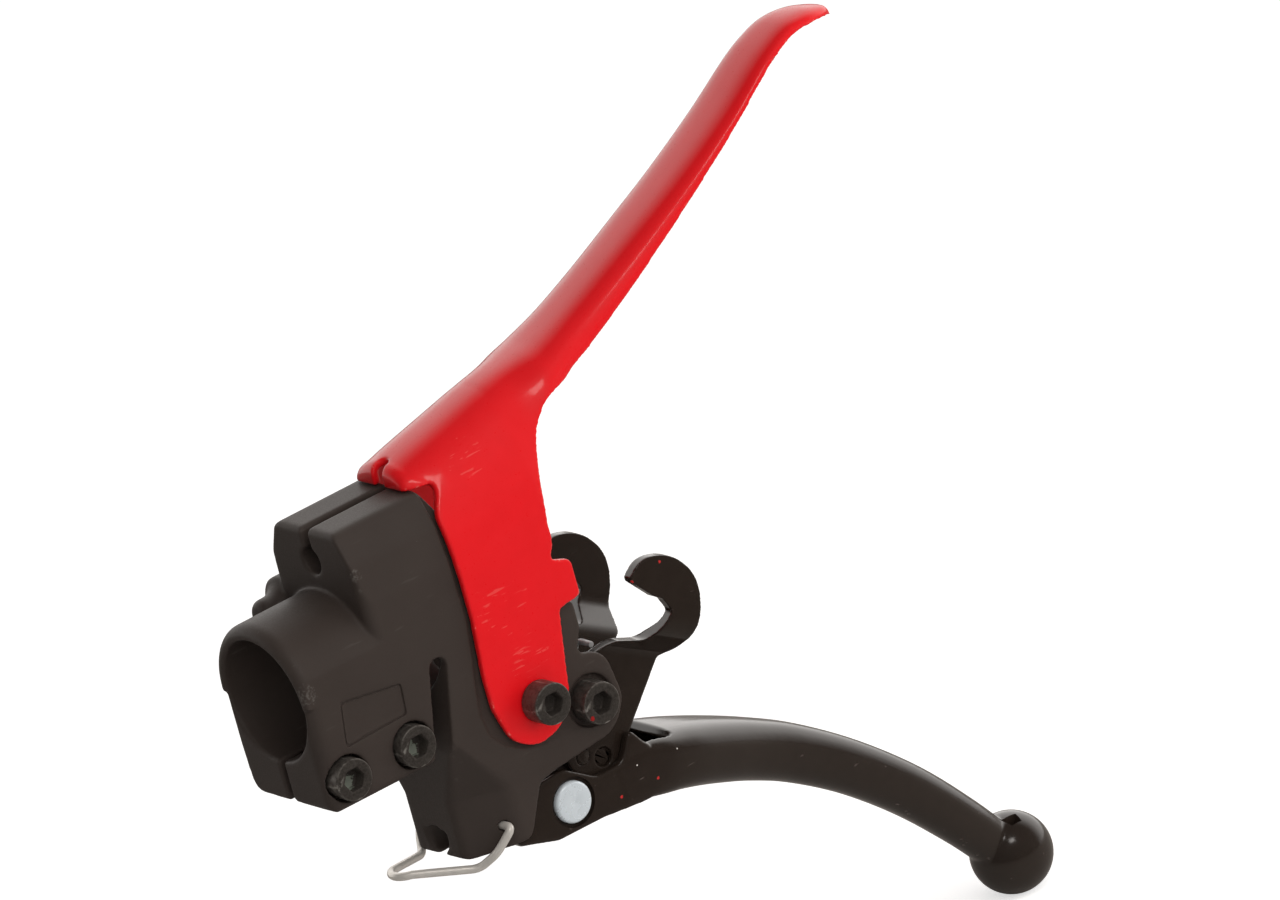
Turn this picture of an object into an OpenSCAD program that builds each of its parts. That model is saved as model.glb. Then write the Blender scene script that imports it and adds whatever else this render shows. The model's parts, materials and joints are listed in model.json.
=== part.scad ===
// Handlebar control of a walk-behind garden machine: a moulded housing clamped on the
// handlebar tube, a safety lever above it and a clutch lever below it.
// Millimetres. +X runs along the tube towards the grip, +Z is up and -Y is the near side.
// The origin is the centre of the clamp bore. Side outlines are [x, z] points.

/* [Handlebar clamp] */
// Diameter of the handlebar tube and of the clamp bore
tube_d = 30; // [28:0.5:31]
// Length of the clamp along the tube
clamp_len = 30; // [28:0.5:34]
// Plastic over the top of the bore
dome_wall = 3.5; // [3:0.1:5]
// Depth of the clamp below the tube axis
clamp_drop = 26; // [25:0.5:29]
// Width of the kerf that lets the clamp close
clamp_kerf = 2; // [1:0.2:3]
// Distance of the first clamp screw from the clamp's front
clamp_screw_edge = 6.2; // [6:0.1:6.5]
// Distance between the two clamp screws
clamp_screw_gap = 18.8; // [18.4:0.1:19]
// Clamp screws below the tube axis
clamp_screw_drop = 19.4; // [19:0.1:20]
// Width of the relief slot behind the clamp
relief_w = 4.7; // [3:0.1:5.4]

/* [Housing] */
// Half width of the housing over its side panels
panel_y = 17.2; // [17:0.1:17.6]
// Half width at the recess that the safety lever swings in
recess_y = 16.6; // [16.4:0.1:16.7]
// Half width of the room between the side walls
inner_y = 14.3; // [14.1:0.1:14.6]
// Half width of the tongue that carries the clutch lever
tongue_y = 8; // [7:0.2:8]
// Top of the upper block above the tube axis
block_top = 33.8; // [31:0.2:34]
// Front face of the upper block
block_front = 7.3; // [6:0.1:9]
// Width of the ways that a cable is laid in through, in the lever's lip and in the leg
cable_way_w = 3.4; // [3:0.1:3.6]
// Width of the kerf in the upper block
cable_kerf = 2.6; // [2:0.1:3.2]
// Diameter of the stop cable's seat
cable_seat_d = 6.6; // [6:0.1:7.2]
// Depth of the stop cable's seat
cable_seat_len = 12; // [8:0.5:16]
// Front face of the leg
leg_front = 19.5; // [19:0.1:20.5]
// Bottom of the leg below the tube axis
leg_drop = 55; // [54:0.2:56]
// Half width of the leg's narrow front
leg_nose_y = 9.2; // [8.8:0.1:10.5]
// Diameter of the clutch cable's threaded hole, at the crests
cable_hole_d = 6.8; // [6.6:0.1:7.2]

/* [Pivots] */
// Safety lever pivot, along the tube
pivot_a_x = 44.3; // [43.8:0.1:44.8]
// Safety lever pivot, below the tube axis
pivot_a_drop = 23.1; // [22.8:0.1:23.6]
// Hook pivot, along the tube
pivot_b_x = 59.3; // [59:0.1:59.6]
// Hook pivot, below the tube axis
pivot_b_drop = 30.2; // [30:0.1:30.5]
// Clutch lever pivot, along the tube
pivot_c_x = 49; // [48.8:0.1:49.3]
// Clutch lever pivot, below the tube axis
pivot_c_drop = 51.9; // [51.7:0.1:52.1]
// Radial clearance of a running fit
run_fit = 0.05; // [0.03:0.01:0.08]

/* [Screws] */
// Thread diameter of the socket head screws
screw_d = 6; // [5:0.5:6]
// Head diameter
head_d = 10; // [9:0.5:10.5]
// Head height
head_h = 6; // [5:0.5:6.5]
// Width across the flats of the hexagon socket
socket_af = 5; // [4:0.5:5]
// Width across the flats of the nuts
nut_af = 10; // [9:0.5:10]
// Thickness of the nuts
nut_h = 5; // [4:0.5:5]

/* [Safety lever] */
// Thickness of the pressed sheet
sheet_t = 2; // [1.6:0.1:2.2]
// Inside half width between the cheeks
cheek_y = 16.9; // [16.85:0.05:17.1]
// Half width of the handle
handle_y = 12; // [11:0.5:13]
// Outside diameter of the sleeve that the cheeks turn on
bush_a_d = 8; // [7.6:0.2:9]

/* [Hook plates] */
// Thickness of the hook plates
hook_t = 3; // [2.5:0.1:3]
// Inside face of the plates' lower half
hook_low_y = 8.2; // [8.1:0.05:8.3]
// Inside face of the plates' upper half
hook_up_y = 16.5; // [16:0.1:17]
// Outside diameter of the sleeve that the plates turn on
bush_b_d = 9; // [8:0.2:9.4]

/* [Clutch lever] */
// Inside half width of the fork
fork_y = 11.4; // [11.3:0.05:11.5]
// Thickness of each fork cheek
fork_t = 2.5; // [2:0.1:2.6]
// Diameter of the ball end
ball_d = 19.8; // [16:0.2:22]
// Diameter of the pivot pin
pin_d = 6; // [5:0.2:6.4]
// Diameter of the pin's head
pin_head_d = 10; // [9:0.2:11]
// Thickness of the pin's head
pin_head_h = 1.5; // [1.2:0.1:2]

/* [Wire] */
// Wire diameter of the bail
bail_d = 2; // [1.6:0.1:2.2]
// Wire diameter of the springs
spring_d = 1.5; // [1.2:0.1:1.6]

/* [Hidden] */
$fn = 48;

plastic = [0.24, 0.23, 0.22];
red = [0.88, 0.12, 0.14];
black = [0.2, 0.18, 0.18];
steel = [0.75, 0.77, 0.78];

pivot_a = [pivot_a_x, -pivot_a_drop];
pivot_b = [pivot_b_x, -pivot_b_drop];
pivot_c = [pivot_c_x, -pivot_c_drop];
tube_r = tube_d / 2;
tube_gap = 0.3;
clamp_screws = [for (x = [0, clamp_screw_gap]) [clamp_screw_edge - clamp_len / 2 + x, -clamp_screw_drop]];
dome_r = tube_r + dome_wall;
edge_r = 3;
eps = 0.01;

head_sink = 3.9;
head_room = 0.6;
screw_hole_d = screw_d + 0.4;
washer_t = 1.6;
clamp_seat_y = -panel_y + head_sink;
clamp_nut_y = panel_y - nut_h - 2.9;
clamp_screw_len = 28;
seat_z = 25.6;
tongue_top = -36.6;

bush_a_end = cheek_y + sheet_t + 0.1;
coil_gap = 0.4;
coil_turns = 3;
hook_coil_turns = 4;
coil_points = 14;
coil_len = (coil_turns + 1.5) * (spring_d + 0.1);
washer_a_y = bush_a_end + 2 * coil_gap + coil_len;

ear_sink = 1.6;
boss_b_y = hook_low_y + hook_t + 0.3;
tail_pin = [61.7, -46.5];
tail_rivet = [56.4, -44.2];
tail_pin_d = 4.6;
tail_rivet_d = 3.7;

bail_eye = [28.9, -48.6];
bail_eye_y = 17.2;
bail_reach = 4;
spring_hole = [37.5, -38];
plate_reach = 30;

// Outline of an XZ, YZ or XY section, drawn out along the axis square to it
module across(y0, y1) translate([0, y1, 0]) rotate([90, 0, 0]) linear_extrude(y1 - y0) children();
module along(x0, x1) translate([x0, 0, 0]) rotate([90, 0, 90]) linear_extrude(x1 - x0) children();
module upward(z0, z1) translate([0, 0, z0]) linear_extrude(z1 - z0) children();

// Round bar or hole across the part, from y0 to y1 at the side point p
module rod(p, y0, y1, d) translate([p[0], y0, p[1]]) rotate([-90, 0, 0]) cylinder(h = y1 - y0, d = d);

// Straight round bar between two points in space
module bar(a, b, d) {
    v = b - a;
    translate(a) rotate([0, acos(v[2] / norm(v)), atan2(v[1], v[0])]) cylinder(h = norm(v), d = d);
}

module both_sides() {
    children();
    mirror([0, 1, 0]) children();
}

function unit(v) = v / norm(v);
function arc(c, r, a0, a1, n = 8) =
    [for (i = [0:n]) let (a = a0 + (a1 - a0) * i / n) c + r * [cos(a), sin(a)]];

// Outline with rounded corners: each point is [x, y] or [x, y, radius]
function corner(a, b, c, n) = is_undef(b[2]) ? [b] :
    let (o = [b[0], b[1]],
        u = unit([a[0], a[1]] - o),
        v = unit([c[0], c[1]] - o),
        half = acos(u * v) / 2,
        m = o + unit(u + v) * b[2] / sin(half),
        s = o + u * b[2] / tan(half) - m,
        e = o + v * b[2] / tan(half) - m,
        turn = s[0] * e[1] > s[1] * e[0] ? 1 : -1,
        a0 = atan2(s[1], s[0]))
    arc(m, b[2], a0, a0 + turn * (180 - 2 * half), n);
function rounded(p, n = 6) = [for (i = [0:len(p) - 1])
    each corner(p[(i + len(p) - 1) % len(p)], p[i], p[(i + 1) % len(p)], n)];

// Smooth run through rows of values: row numbers count from 0, parts of one lie between rows
function row(p, i) = p[max(0, min(len(p) - 1, i))];
function run(p, t) =
    let (i = floor(t), f = t - i, a = row(p, i - 1), b = row(p, i), c = row(p, i + 1), d = row(p, i + 2))
    b + f * (c - a) / 2 + f * f * (2 * a - 5 * b + 4 * c - d) / 2
        + f * f * f * (3 * b - a - 3 * c + d) / 2;

// Closed skin over rings that all have the same number of points. A strip is a ring whose second
// half runs back along its first
module skin(rings, strip = false) {
    n = len(rings[0]);
    last = len(rings) - 1;
    polyhedron(
        points = [for (r = rings) each r],
        faces = [
            if (!strip) each [[for (k = [n - 1:-1:0]) k], [for (k = [0:n - 1]) last * n + k]],
            if (strip) for (k = [0:n / 2 - 2]) let (m = n - 1 - k, e = last * n)
                each [[k + 1, k, m], [k + 1, m, m - 1], [e + k, e + k + 1, e + m], [e + k + 1, e + m - 1, e + m]],
            for (i = [0:last - 1], k = [0:n - 1]) let (q = (k + 1) % n)
                each [[i * n + k, i * n + q, (i + 1) * n + q], [i * n + k, (i + 1) * n + q, (i + 1) * n + k]]
        ]);
}

// Points that ease the corner b between a and c, starting and ending r away from it
function eased(a, b, c, r, n = 4) = [for (i = [0:n]) let (t = i / n)
    (1 - t) * (1 - t) * (b + r * unit(a - b)) + 2 * t * (1 - t) * b + t * t * (b + r * unit(c - b))];

// Round wire along a path of points in space
module wire(path, d, sides = 8) {
    last = len(path) - 1;
    skin([for (i = [0:last]) let (
            t = unit(path[min(last, i + 1)] - path[max(0, i - 1)]),
            side = unit(cross(t, abs(t[1]) > 0.9 ? [1, 0, 0] : [0, 1, 0])),
            up = cross(side, t))
        [for (k = [0:sides - 1]) path[i] + d / 2 * (cos(360 * k / sides) * side + sin(360 * k / sides) * up)]]);
}

// Housing

clamp_front = -clamp_len / 2;
clamp_rear = clamp_front + clamp_len + 9;
flank_foot_y = panel_y - 3.2;
clamp_foot = clamp_drop + 0.6;
relief_top = [22, -5.2];
relief_lean = 13.2;
slot_foot = relief_top + 24 * [-sin(relief_lean), -cos(relief_lean)];
side_outline = rounded([
    [block_front, block_top, 1.6], [33.4, block_top, 2.5], [38.6, 18, 5], [54.4, -4.4, 3],
    [61.9, -5.4, 2.4], [61.9, -12.5, 3], [59, -18.6, 2], [66.4, -20.4, 6], [68.2, -33.5, 6],
    [62.5, -39.8, 6], [45.5, -41.6, 3], [40.4, -42.6, 3], [34.6, -53.6, 3.5], [26, -leg_drop + 0.7],
    [leg_front - 1, -leg_drop, 3], [leg_front - 1, -20], [block_front, -20]]);
front_profile = rounded([
    [-panel_y, -70], [-panel_y, 16.5, 9], [-15.6, 26, 6], [-11.6, block_top, 3],
    [11.6, block_top, 3], [15.6, 26, 6], [panel_y, 16.5, 9], [panel_y, -70]]);
leg_plan_top = [
    [leg_front, -panel_y - 1], [76, -panel_y - 1], [76, panel_y + 1], [leg_front, panel_y + 1]];
leg_plan_low = rounded([
    [leg_front, -leg_nose_y, 3.5], [31.5, -panel_y + 0.3, 6], [40, -recess_y], [75, -recess_y],
    [75, recess_y], [40, recess_y], [31.5, panel_y - 0.3, 6], [leg_front, leg_nose_y, 3.5]], 5);
recess_outline = [
    [32.7, 40], [32.7, 2], [31.6, -5.5], [29.9, -15], [29.2, -20.6], [30.3, -26.4], [33.5, -30.4],
    [37.8, -32.9], [43, -34.3], [75, -36], [75, 40]];
cavity_outline = rounded([
    [31.2, -60], [31.2, -22, 3], [37, -12, 3], [75, -12], [75, -60]]);
tongue_outline = [
    each arc(pivot_c, 6.8, -150, 40), [52.6, -42], [51.5, tongue_top], [30, tongue_top], [30, -47.4], [40.6, -47.4]];

// Rounded clamp with its flat flanks
clamp_plan = [
    [0, clamp_front], each arc([dome_r - edge_r, clamp_front + edge_r], edge_r, -90, 0), [dome_r, clamp_rear],
    [0, clamp_rear]];
flank_plan = rounded([
    [clamp_front, -panel_y, 3.5], [clamp_rear, -panel_y], [clamp_rear, panel_y], [clamp_front, panel_y, 3.5]]);
module clamp_body() intersection() {
    along(clamp_front - 5, clamp_rear + 5) polygon(rounded([
        [-panel_y, 30], [-panel_y, -clamp_foot, 2.5], [0, -clamp_drop + 0.6], [flank_foot_y, -clamp_drop + 1, 4],
        [panel_y, -3, 12], [panel_y, 30]], 8));
    union() {
        rotate([90, 0, 90]) rotate_extrude(angle = 180, $fn = 96) polygon(clamp_plan);
        upward(-clamp_foot - 1, 0) polygon(flank_plan);
    }
    across(-30, 30) polygon(rounded([
        [clamp_front, 30], [clamp_front, -clamp_foot, 3], [clamp_rear, -clamp_foot], [clamp_rear, 30]]));
}

// Upper block, side panels and leg as one moulding, outside only
module shell_body() {
    intersection() {
        across(-panel_y, panel_y) polygon(side_outline);
        along(0, 75) polygon(front_profile);
        union() {
            upward(-20, 40) polygon(rounded([
                [block_front, -panel_y, 2.6], [75, -panel_y], [75, panel_y], [block_front, panel_y, 2.6]]));
            hull() {
                upward(-20 - eps, -20) polygon(leg_plan_top);
                upward(-40 - eps, -40) polygon(leg_plan_low);
            }
            upward(-70, -40) polygon(leg_plan_low);
        }
    }
    far_boss();
}

// Stepped round boss on the far flank of the upper block
module far_boss() translate([0, panel_y + 1.4, 10.8]) rotate([0, 90, 0]) rotate_extrude() polygon([
    [0, 0.9], each arc([2.2, 2.9], 2, -90, 0), each arc([8, 4.4], 3.8, 180, 100),
    each arc([4.9, 23], 2.4, 0, 90), [0, 25.4]]);

// Cut that keeps the upper block clear of the safety lever's crown
module lever_room() along(32.7, 75) difference() {
    translate([-25, 8]) square([50, 40]);
    polygon([for (p = lever_arch(lever_rows[0], sheet_t + 0.5)) [p[1], p[2]]]);
}

// Slot that frees the clamp from the leg
module relief_slot() across(-dome_r - 10, dome_r) polygon([
    each arc(relief_top, relief_w / 2, -relief_lean, 180 - relief_lean, 12),
    slot_foot + relief_w / 2 * [-cos(relief_lean), sin(relief_lean)],
    slot_foot + relief_w / 2 * [cos(relief_lean), -sin(relief_lean)]]);

// Clutch cable's hole, entering the leg's front and sloping down towards the lever's nose
cable_axis = unit([0.97, 0, -0.23]);
cable_entry = [leg_front, 0, -50.3];
module cable_hole() {
    bar(cable_entry - 3 * cable_axis, cable_entry + 14 * cable_axis, cable_hole_d);
    translate(cable_entry - 0.5 * cable_axis) rotate([0, acos(cable_axis[2]), 0])
        cylinder(h = 1.8, d1 = cable_hole_d + 3.2, d2 = cable_hole_d - 0.4);
    translate([leg_front - 2, -cable_way_w / 2, -leg_drop - 2])
        cube([16, cable_way_w, leg_drop + 2 + cable_entry[2]]);
}

module housing() color(plastic) difference() {
    union() {
        difference() {
            union() {
                clamp_body();
                shell_body();
            }
            both_sides() across(recess_y, panel_y + 1) polygon(recess_outline);
            lever_room();
            across(-inner_y, inner_y) polygon(cavity_outline);
        }
        across(-tongue_y, tongue_y) polygon(tongue_outline);
        both_sides() rod(pivot_b, boss_b_y, inner_y + 1, 12);
    }
    // Tube bore, clamped in front and free behind
    translate([clamp_front - 1, 0, 0]) rotate([0, 90, 0]) cylinder(h = clamp_len + 1, r = tube_r, $fn = 96);
    translate([clamp_front + clamp_len - eps, 0, 0]) rotate([0, 90, 0])
        cylinder(h = 60, r = tube_r + tube_gap, $fn = 96);
    translate([clamp_front - eps, 0, 0]) rotate([0, 90, 0])
        cylinder(h = 0.6, r1 = tube_r + 0.6, r2 = tube_r, $fn = 96);
    translate([clamp_front - 1, -clamp_kerf / 2, -clamp_drop - 1])
        cube([clamp_len + 9, clamp_kerf, clamp_drop]);
    relief_slot();
    // Clamp screws: counterbore on the near side, nut pocket on the far side
    for (p = clamp_screws) {
        rod(p, -panel_y - 1, panel_y + 1, screw_hole_d);
        rod(p, -panel_y - 1, -panel_y + head_sink, head_d + 2 * head_room);
        translate([p[0], clamp_nut_y, p[1]]) rotate([-90, 0, 0])
            cylinder(h = nut_h + 5, d = (nut_af + 0.2) / cos(30), $fn = 6);
    }
    // Kerf and seat of the stop cable
    translate([block_front - 1, -cable_kerf / 2, seat_z]) cube([40, cable_kerf, block_top]);
    translate([block_front - 1, 0, seat_z]) rotate([0, 90, 0])
        cylinder(h = cable_seat_len + 1, d = cable_seat_d);
    cable_hole();
    // Bare label recess
    across(-panel_y - 1, -panel_y + 0.35) polygon(rounded([
        [-5.8, -1.6, 0.8], [11.2, -4.2, 0.8], [10.6, -11.8, 0.8], [-7.4, -12.4, 0.8]]));
    // Pivots
    both_sides() {
        rod(pivot_a, 0, panel_y + 1, bush_a_d + 2 * run_fit);
        rod(pivot_b, 0, panel_y + 1, screw_hole_d);
        rod(pivot_b, recess_y - ear_sink, panel_y + 1, 12.5);
        rod(bail_eye, bail_eye_y - bail_reach - 1, panel_y + 1, bail_d + 0.3);
    }
    rod(pivot_c, -tongue_y - 1, tongue_y + 1, 9);
    // Hole for the fixed leg of the safety lever's spring
    rod(spring_hole, inner_y - 1, panel_y + 1, spring_d + 0.3);
}

// Fasteners, lying along +Y from the seat of the head

module cap_screw(p, y, length) color(black) translate([p[0], y, p[1]]) rotate([-90, 0, 0]) difference() {
    rotate_extrude() polygon([
        [0, -head_h], [head_d / 2 - 0.5, -head_h], [head_d / 2, -head_h + 0.5], [head_d / 2, 0],
        [screw_d / 2, 0], [screw_d / 2, length - 0.8], [screw_d / 2 - 0.8, length], [0, length]]);
    translate([0, 0, -head_h - 1]) cylinder(h = 4, d = socket_af / cos(30), $fn = 6);
    translate([0, 0, -head_h + 3 - eps]) cylinder(h = 1, d1 = socket_af * 0.95, d2 = 0.6);
    translate([0, 0, -head_h - eps]) cylinder(h = 0.4, d1 = socket_af + 1.4, d2 = socket_af);
}

module hex_nut(p, y) color(steel) translate([p[0], y, p[1]]) rotate([-90, 0, 0]) difference() {
    intersection() {
        cylinder(h = nut_h, d = nut_af / cos(30), $fn = 6);
        rotate_extrude() polygon([
            [0, 0], [nut_af / 2, 0], [nut_af / 2 + 0.8, 0.6], [nut_af / 2 + 0.8, nut_h - 0.6],
            [nut_af / 2, nut_h], [0, nut_h]]);
    }
    translate([0, 0, -1]) cylinder(h = nut_h + 2, d = screw_d + 2 * run_fit);
}

module washer(p, y, d, hole, t) color(steel) difference() {
    rod(p, y, y + t, d);
    rod(p, y - 1, y + t + 1, hole);
}

module sleeve(p, y0, y1, d, hole) color(steel) difference() {
    rod(p, y0, y1, d);
    rod(p, y0 - 1, y1 + 1, hole);
}

module clamp_screw_front() cap_screw(clamp_screws[0], clamp_seat_y, clamp_screw_len);
module clamp_screw_rear() cap_screw(clamp_screws[1], clamp_seat_y, clamp_screw_len);
module clamp_nut_front() hex_nut(clamp_screws[0], clamp_nut_y);
module clamp_nut_rear() hex_nut(clamp_screws[1], clamp_nut_y);

// Safety lever

// Rows of the pressed channel: along the tube, crown height, half width and height where the
// flanks end, height of the rim, squareness of the section
lever_rows = [
    [33.3, 38.8, cheek_y + sheet_t, 8, 8, 2.4], [40, 40.9, cheek_y + sheet_t, 8, 8, 2.4],
    [50, 43.6, cheek_y + sheet_t, 8, 8, 2.4], [58.4, 45.9, cheek_y + sheet_t, 8, 8, 2.4],
    [60.2, 46.4, cheek_y + sheet_t, 8, 16, 2.4], [62.1, 47, 18.7, 9, 24.3, 2.4],
    [65.4, 47.9, 17.6, 14, 32.6, 2.4], [69.1, 49, 15.6, 25, 37.1, 2.5],
    [73.1, 50.2, 13.6, 36, 39.8, 2.7], [79, 51.8, handle_y, 41.8, 41.8, 2.9],
    [88, 54.8, handle_y, 45.6, 45.6, 2.9], [99.8, 60, handle_y - 0.3, 51.4, 51.4, 2.8],
    [113.9, 66.5, handle_y - 0.6, 59.3, 59.3, 2.8], [128.3, 73.4, handle_y - 1.4, 67.7, 67.7, 2.8],
    [143, 81.5, handle_y - 2.2, 76.9, 76.9, 2.8], [154, 88.5, handle_y - 2.9, 84.5, 84.5, 2.8],
    [160, 91.7, handle_y - 3.5, 88, 88, 2.8], [166, 93.7, handle_y - 4.2, 90.2, 90.2, 2.8],
    [172, 93.5, handle_y - 5.2, 90.3, 90.3, 2.6], [177, 92.2, handle_y - 7, 89.6, 89.6, 2.6],
    [179.6, 90.9, handle_y - 9, 88.8, 88.8, 2.6]];
lever_steps = 2;
flank_points = 8;

// Half of a section, from the rim on the -Y side to the crown's middle, drawn in by t
function lever_arch(r, t) =
    let (w = r[2] - t, top = r[1] - t, e = 2 / r[5],
        rim = acos(pow(max(0, (r[4] - r[3]) / (top - r[3])), r[5] / 2)))
    [for (k = [-flank_points:flank_points]) let (a = rim * k / flank_points)
        [r[0], sign(k) * w * pow(abs(sin(a)), e), r[3] + (top - r[3]) * pow(cos(a), e)]];
function back(p) = [for (i = [len(p) - 1:-1:0]) p[i]];

cheek_outline = rounded([
    [33.3, 8.5], [33.3, 1.7], [32, -12.7], [32.1, -20.3, 8], [34.8, -29.5, 8], [41, -33.4, 8],
    [49, -31.8, 8], [53.2, -24.5, 8], [53.9, -19.8], [56.5, -5.4, 1], [62.9, -4.6, 1.2],
    [62.9, 4.5, 1.8], [58, 6.3, 1], [58.4, 8.5]]);

lip_z = block_top + 0.4;
lip_y = 11.9;
lip_r = 3;

module safety_lever() color(red) difference() {
    union() {
        skin([for (i = [0:(len(lever_rows) - 1) * lever_steps]) let (r = run(lever_rows, i / lever_steps))
            concat(lever_arch(r, 0), back(lever_arch(r, sheet_t)))], true);
        both_sides() across(cheek_y, cheek_y + sheet_t) polygon(cheek_outline);
        // Lip that closes the front of the channel
        intersection() {
            across(-lip_y, lip_y) polygon([
                [36, 39.1], [33.4, 38.3], each arc([33.7, 35.2], lip_r, 100, 180), [33.7 - lip_r, lip_z],
                [33.7 - lip_r + sheet_t, lip_z], each arc([33.7, 35.2], lip_r - sheet_t, 180, 100), [36, 37.1]]);
            along(30, 37) polygon([for (p = lever_arch(lever_rows[0], -0.1)) [p[1], p[2]]]);
        }
    }
    both_sides() rod(pivot_a, 0, cheek_y + 5, bush_a_d + 2 * run_fit);
    // Way for the stop cable
    translate([29, -cable_way_w / 2, 30]) cube([5.2, cable_way_w, 12]);
}

module safety_lever_screw() cap_screw(pivot_a, -bush_a_end, 2 * bush_a_end + 17);
module safety_lever_bush() sleeve(pivot_a, -bush_a_end, washer_a_y, bush_a_d, screw_d + 2 * run_fit);
module safety_lever_washer() washer(pivot_a, washer_a_y, 14, screw_hole_d, washer_t);
module safety_lever_nut() hex_nut(pivot_a, washer_a_y + washer_t);

// Torsion spring on the far end of the sleeve: one leg in the wall, one behind the far cheek
coil_r = bush_a_d / 2 + spring_d / 2 + 0.35;
coil_y = bush_a_end + coil_gap + spring_d / 2;
module safety_lever_spring() color(steel) wire([
    [spring_hole[0], recess_y - 1.2, spring_hole[1]], [spring_hole[0], coil_y - 1.2, spring_hole[1]],
    [spring_hole[0] + 0.4, coil_y, spring_hole[1] + 1],
    for (i = [0:coil_points * coil_turns + 6]) let (a = 200 + 360 * i / coil_points)
        [pivot_a[0] + coil_r * cos(a), coil_y + 0.3 + i * (spring_d + 0.1) / coil_points,
            pivot_a[1] + coil_r * sin(a)],
    [pivot_a[0] + 12.4, coil_y + 5.2, -14], [pivot_a[0] + 12.9, coil_y + 4, -12],
    [pivot_a[0] + 12.9, cheek_y + 0.6, -12]], spring_d);

// Hook plates

hook_lean = 30;
hook_dir = [sin(hook_lean), cos(hook_lean)];
low_bend = 16.6;
up_bend = 23;
hook_outline = rounded([
    [76.2, -7.4, 0.8], [81, -4.4, 4], [88.2, -5, 8], [94.8, -12.5, 8], [92, -22.4, 6],
    [86.6, -30, 4], [82.9, -30.4, 1], [66, -48.4, 4], [60.3, -51.4, 4.4], [52.6, -46.6, 4],
    [50.2, -33, 8], [57.5, -20.6, 8], [66.8, -22.4, 6], [72.4, -21.4, 3], [78.8, -23.8, 2.4],
    [85.2, -18.6, 1.2], [83.6, -14.8, 0.8], [81.4, -13.2, 0.5]]);

// Outline cut from a bent sheet: flat below, set over between the bend lines, flat above
module hook_plate() color(black) difference() {
    intersection() {
        across(0, plate_reach) polygon(hook_outline);
        rotate([0, hook_lean, 0]) translate([-100, 0, 0]) along(0, 250) polygon([
            [hook_low_y, -90], [hook_low_y, low_bend + 0.9], [hook_up_y, up_bend + 0.9], [hook_up_y, 60],
            [hook_up_y + hook_t, 60], [hook_up_y + hook_t, up_bend - 0.9],
            [hook_low_y + hook_t, low_bend - 0.9], [hook_low_y + hook_t, -90]]);
    }
    rod(pivot_b, 0, plate_reach, bush_b_d + 2 * run_fit);
    rod(tail_pin, 0, plate_reach, tail_pin_d);
    rod(tail_rivet, 0, plate_reach, tail_rivet_d);
}
module hook_far() hook_plate();
module hook_near() mirror([0, 1, 0]) hook_plate();

hook_out = hook_low_y + hook_t;
module hook_screw() cap_screw(pivot_b, -recess_y + ear_sink, 2 * recess_y + 6);
module hook_bush() sleeve(pivot_b, -boss_b_y + 0.05, boss_b_y - 0.05, bush_b_d, screw_d + 2 * run_fit);
module hook_washer() washer(pivot_b, recess_y - ear_sink, 11.6, screw_hole_d, washer_t);
module hook_nut() hex_nut(pivot_b, recess_y - ear_sink + washer_t);
module hook_stop_pin() color(black) rod(tail_pin, -hook_out + 0.8, hook_out - 0.8, tail_pin_d);
module hook_rivet() color(black) rod(tail_rivet, -hook_out, hook_out, tail_rivet_d);

// Torsion spring between the plates: one leg on the tongue, one over the near plate's edge
spring_b_r = bush_b_d / 2 + spring_d / 2 + 0.35;
spring_b_pitch = spring_d + 0.46;
module hook_spring() color(steel) wire([
    [45, 4.4, tongue_top + spring_d / 2 + 0.2],
    for (i = [0:coil_points * hook_coil_turns + 5]) let (a = 270 + 360 * i / coil_points)
        [pivot_b[0] + spring_b_r * cos(a), 4.2 - i * spring_b_pitch / coil_points,
            pivot_b[1] + spring_b_r * sin(a)],
    [66, -5.6, -20.4], [67, -6.6, -20.2], [67, -10.6, -20.4]], spring_d);

// Clutch lever

fork_out = fork_y + fork_t;
fork_outline = rounded([
    [31.7, -50, 2], [31.7, -55.6, 2], [42.6, -58.9, 6], [56, -59, 10], [66, -60, 6], [72, -60.2, 3],
    [72.8, -52], [72.8, -47.7, 1], [71.4, -46.2, 1.5], [68.6, -42, 1.2], [64.6, -48.9, 4], [57, -49, 4],
    [48.6, -43.4, 4], [39, -44, 4]]);
// Rows of the handle: middle line x and z, half depth and half width of the section, its squareness
handle_rows = [
    [63, -53.6, 5.2, fork_out, 6], [71, -54, 6.9, fork_out, 5], [79, -55.8, 7.5, 13.4, 4],
    [87, -58.2, 7.4, 11.2, 3.4], [96, -61.5, 7.2, 8.8, 3], [106, -65.9, 7, 7.4, 2.7],
    [117, -71.9, 6.8, 6.9, 2.6], [131, -81.8, 6.5, 6.6, 2.6], [145, -94.3, 6.2, 6.2, 2.5],
    [157, -107.8, 5.8, 5.8, 2.4], [164, -117, 5.5, 5.5, 2.3]];
handle_steps = 3;
ball = [167.9, -120.4];

function handle_ring(t) =
    let (r = run(handle_rows, t), d = run(handle_rows, t + 0.05) - run(handle_rows, t - 0.05),
        up = unit([-d[1], d[0]]))
    [for (k = [0:23]) let (a = 15 * k, e = 2 / r[4],
            u = sign(cos(a)) * pow(abs(cos(a)), e), w = sign(sin(a)) * pow(abs(sin(a)), e))
        [r[0] + up[0] * r[2] * w, -r[3] * u, r[1] + up[1] * r[2] * w]];

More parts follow.
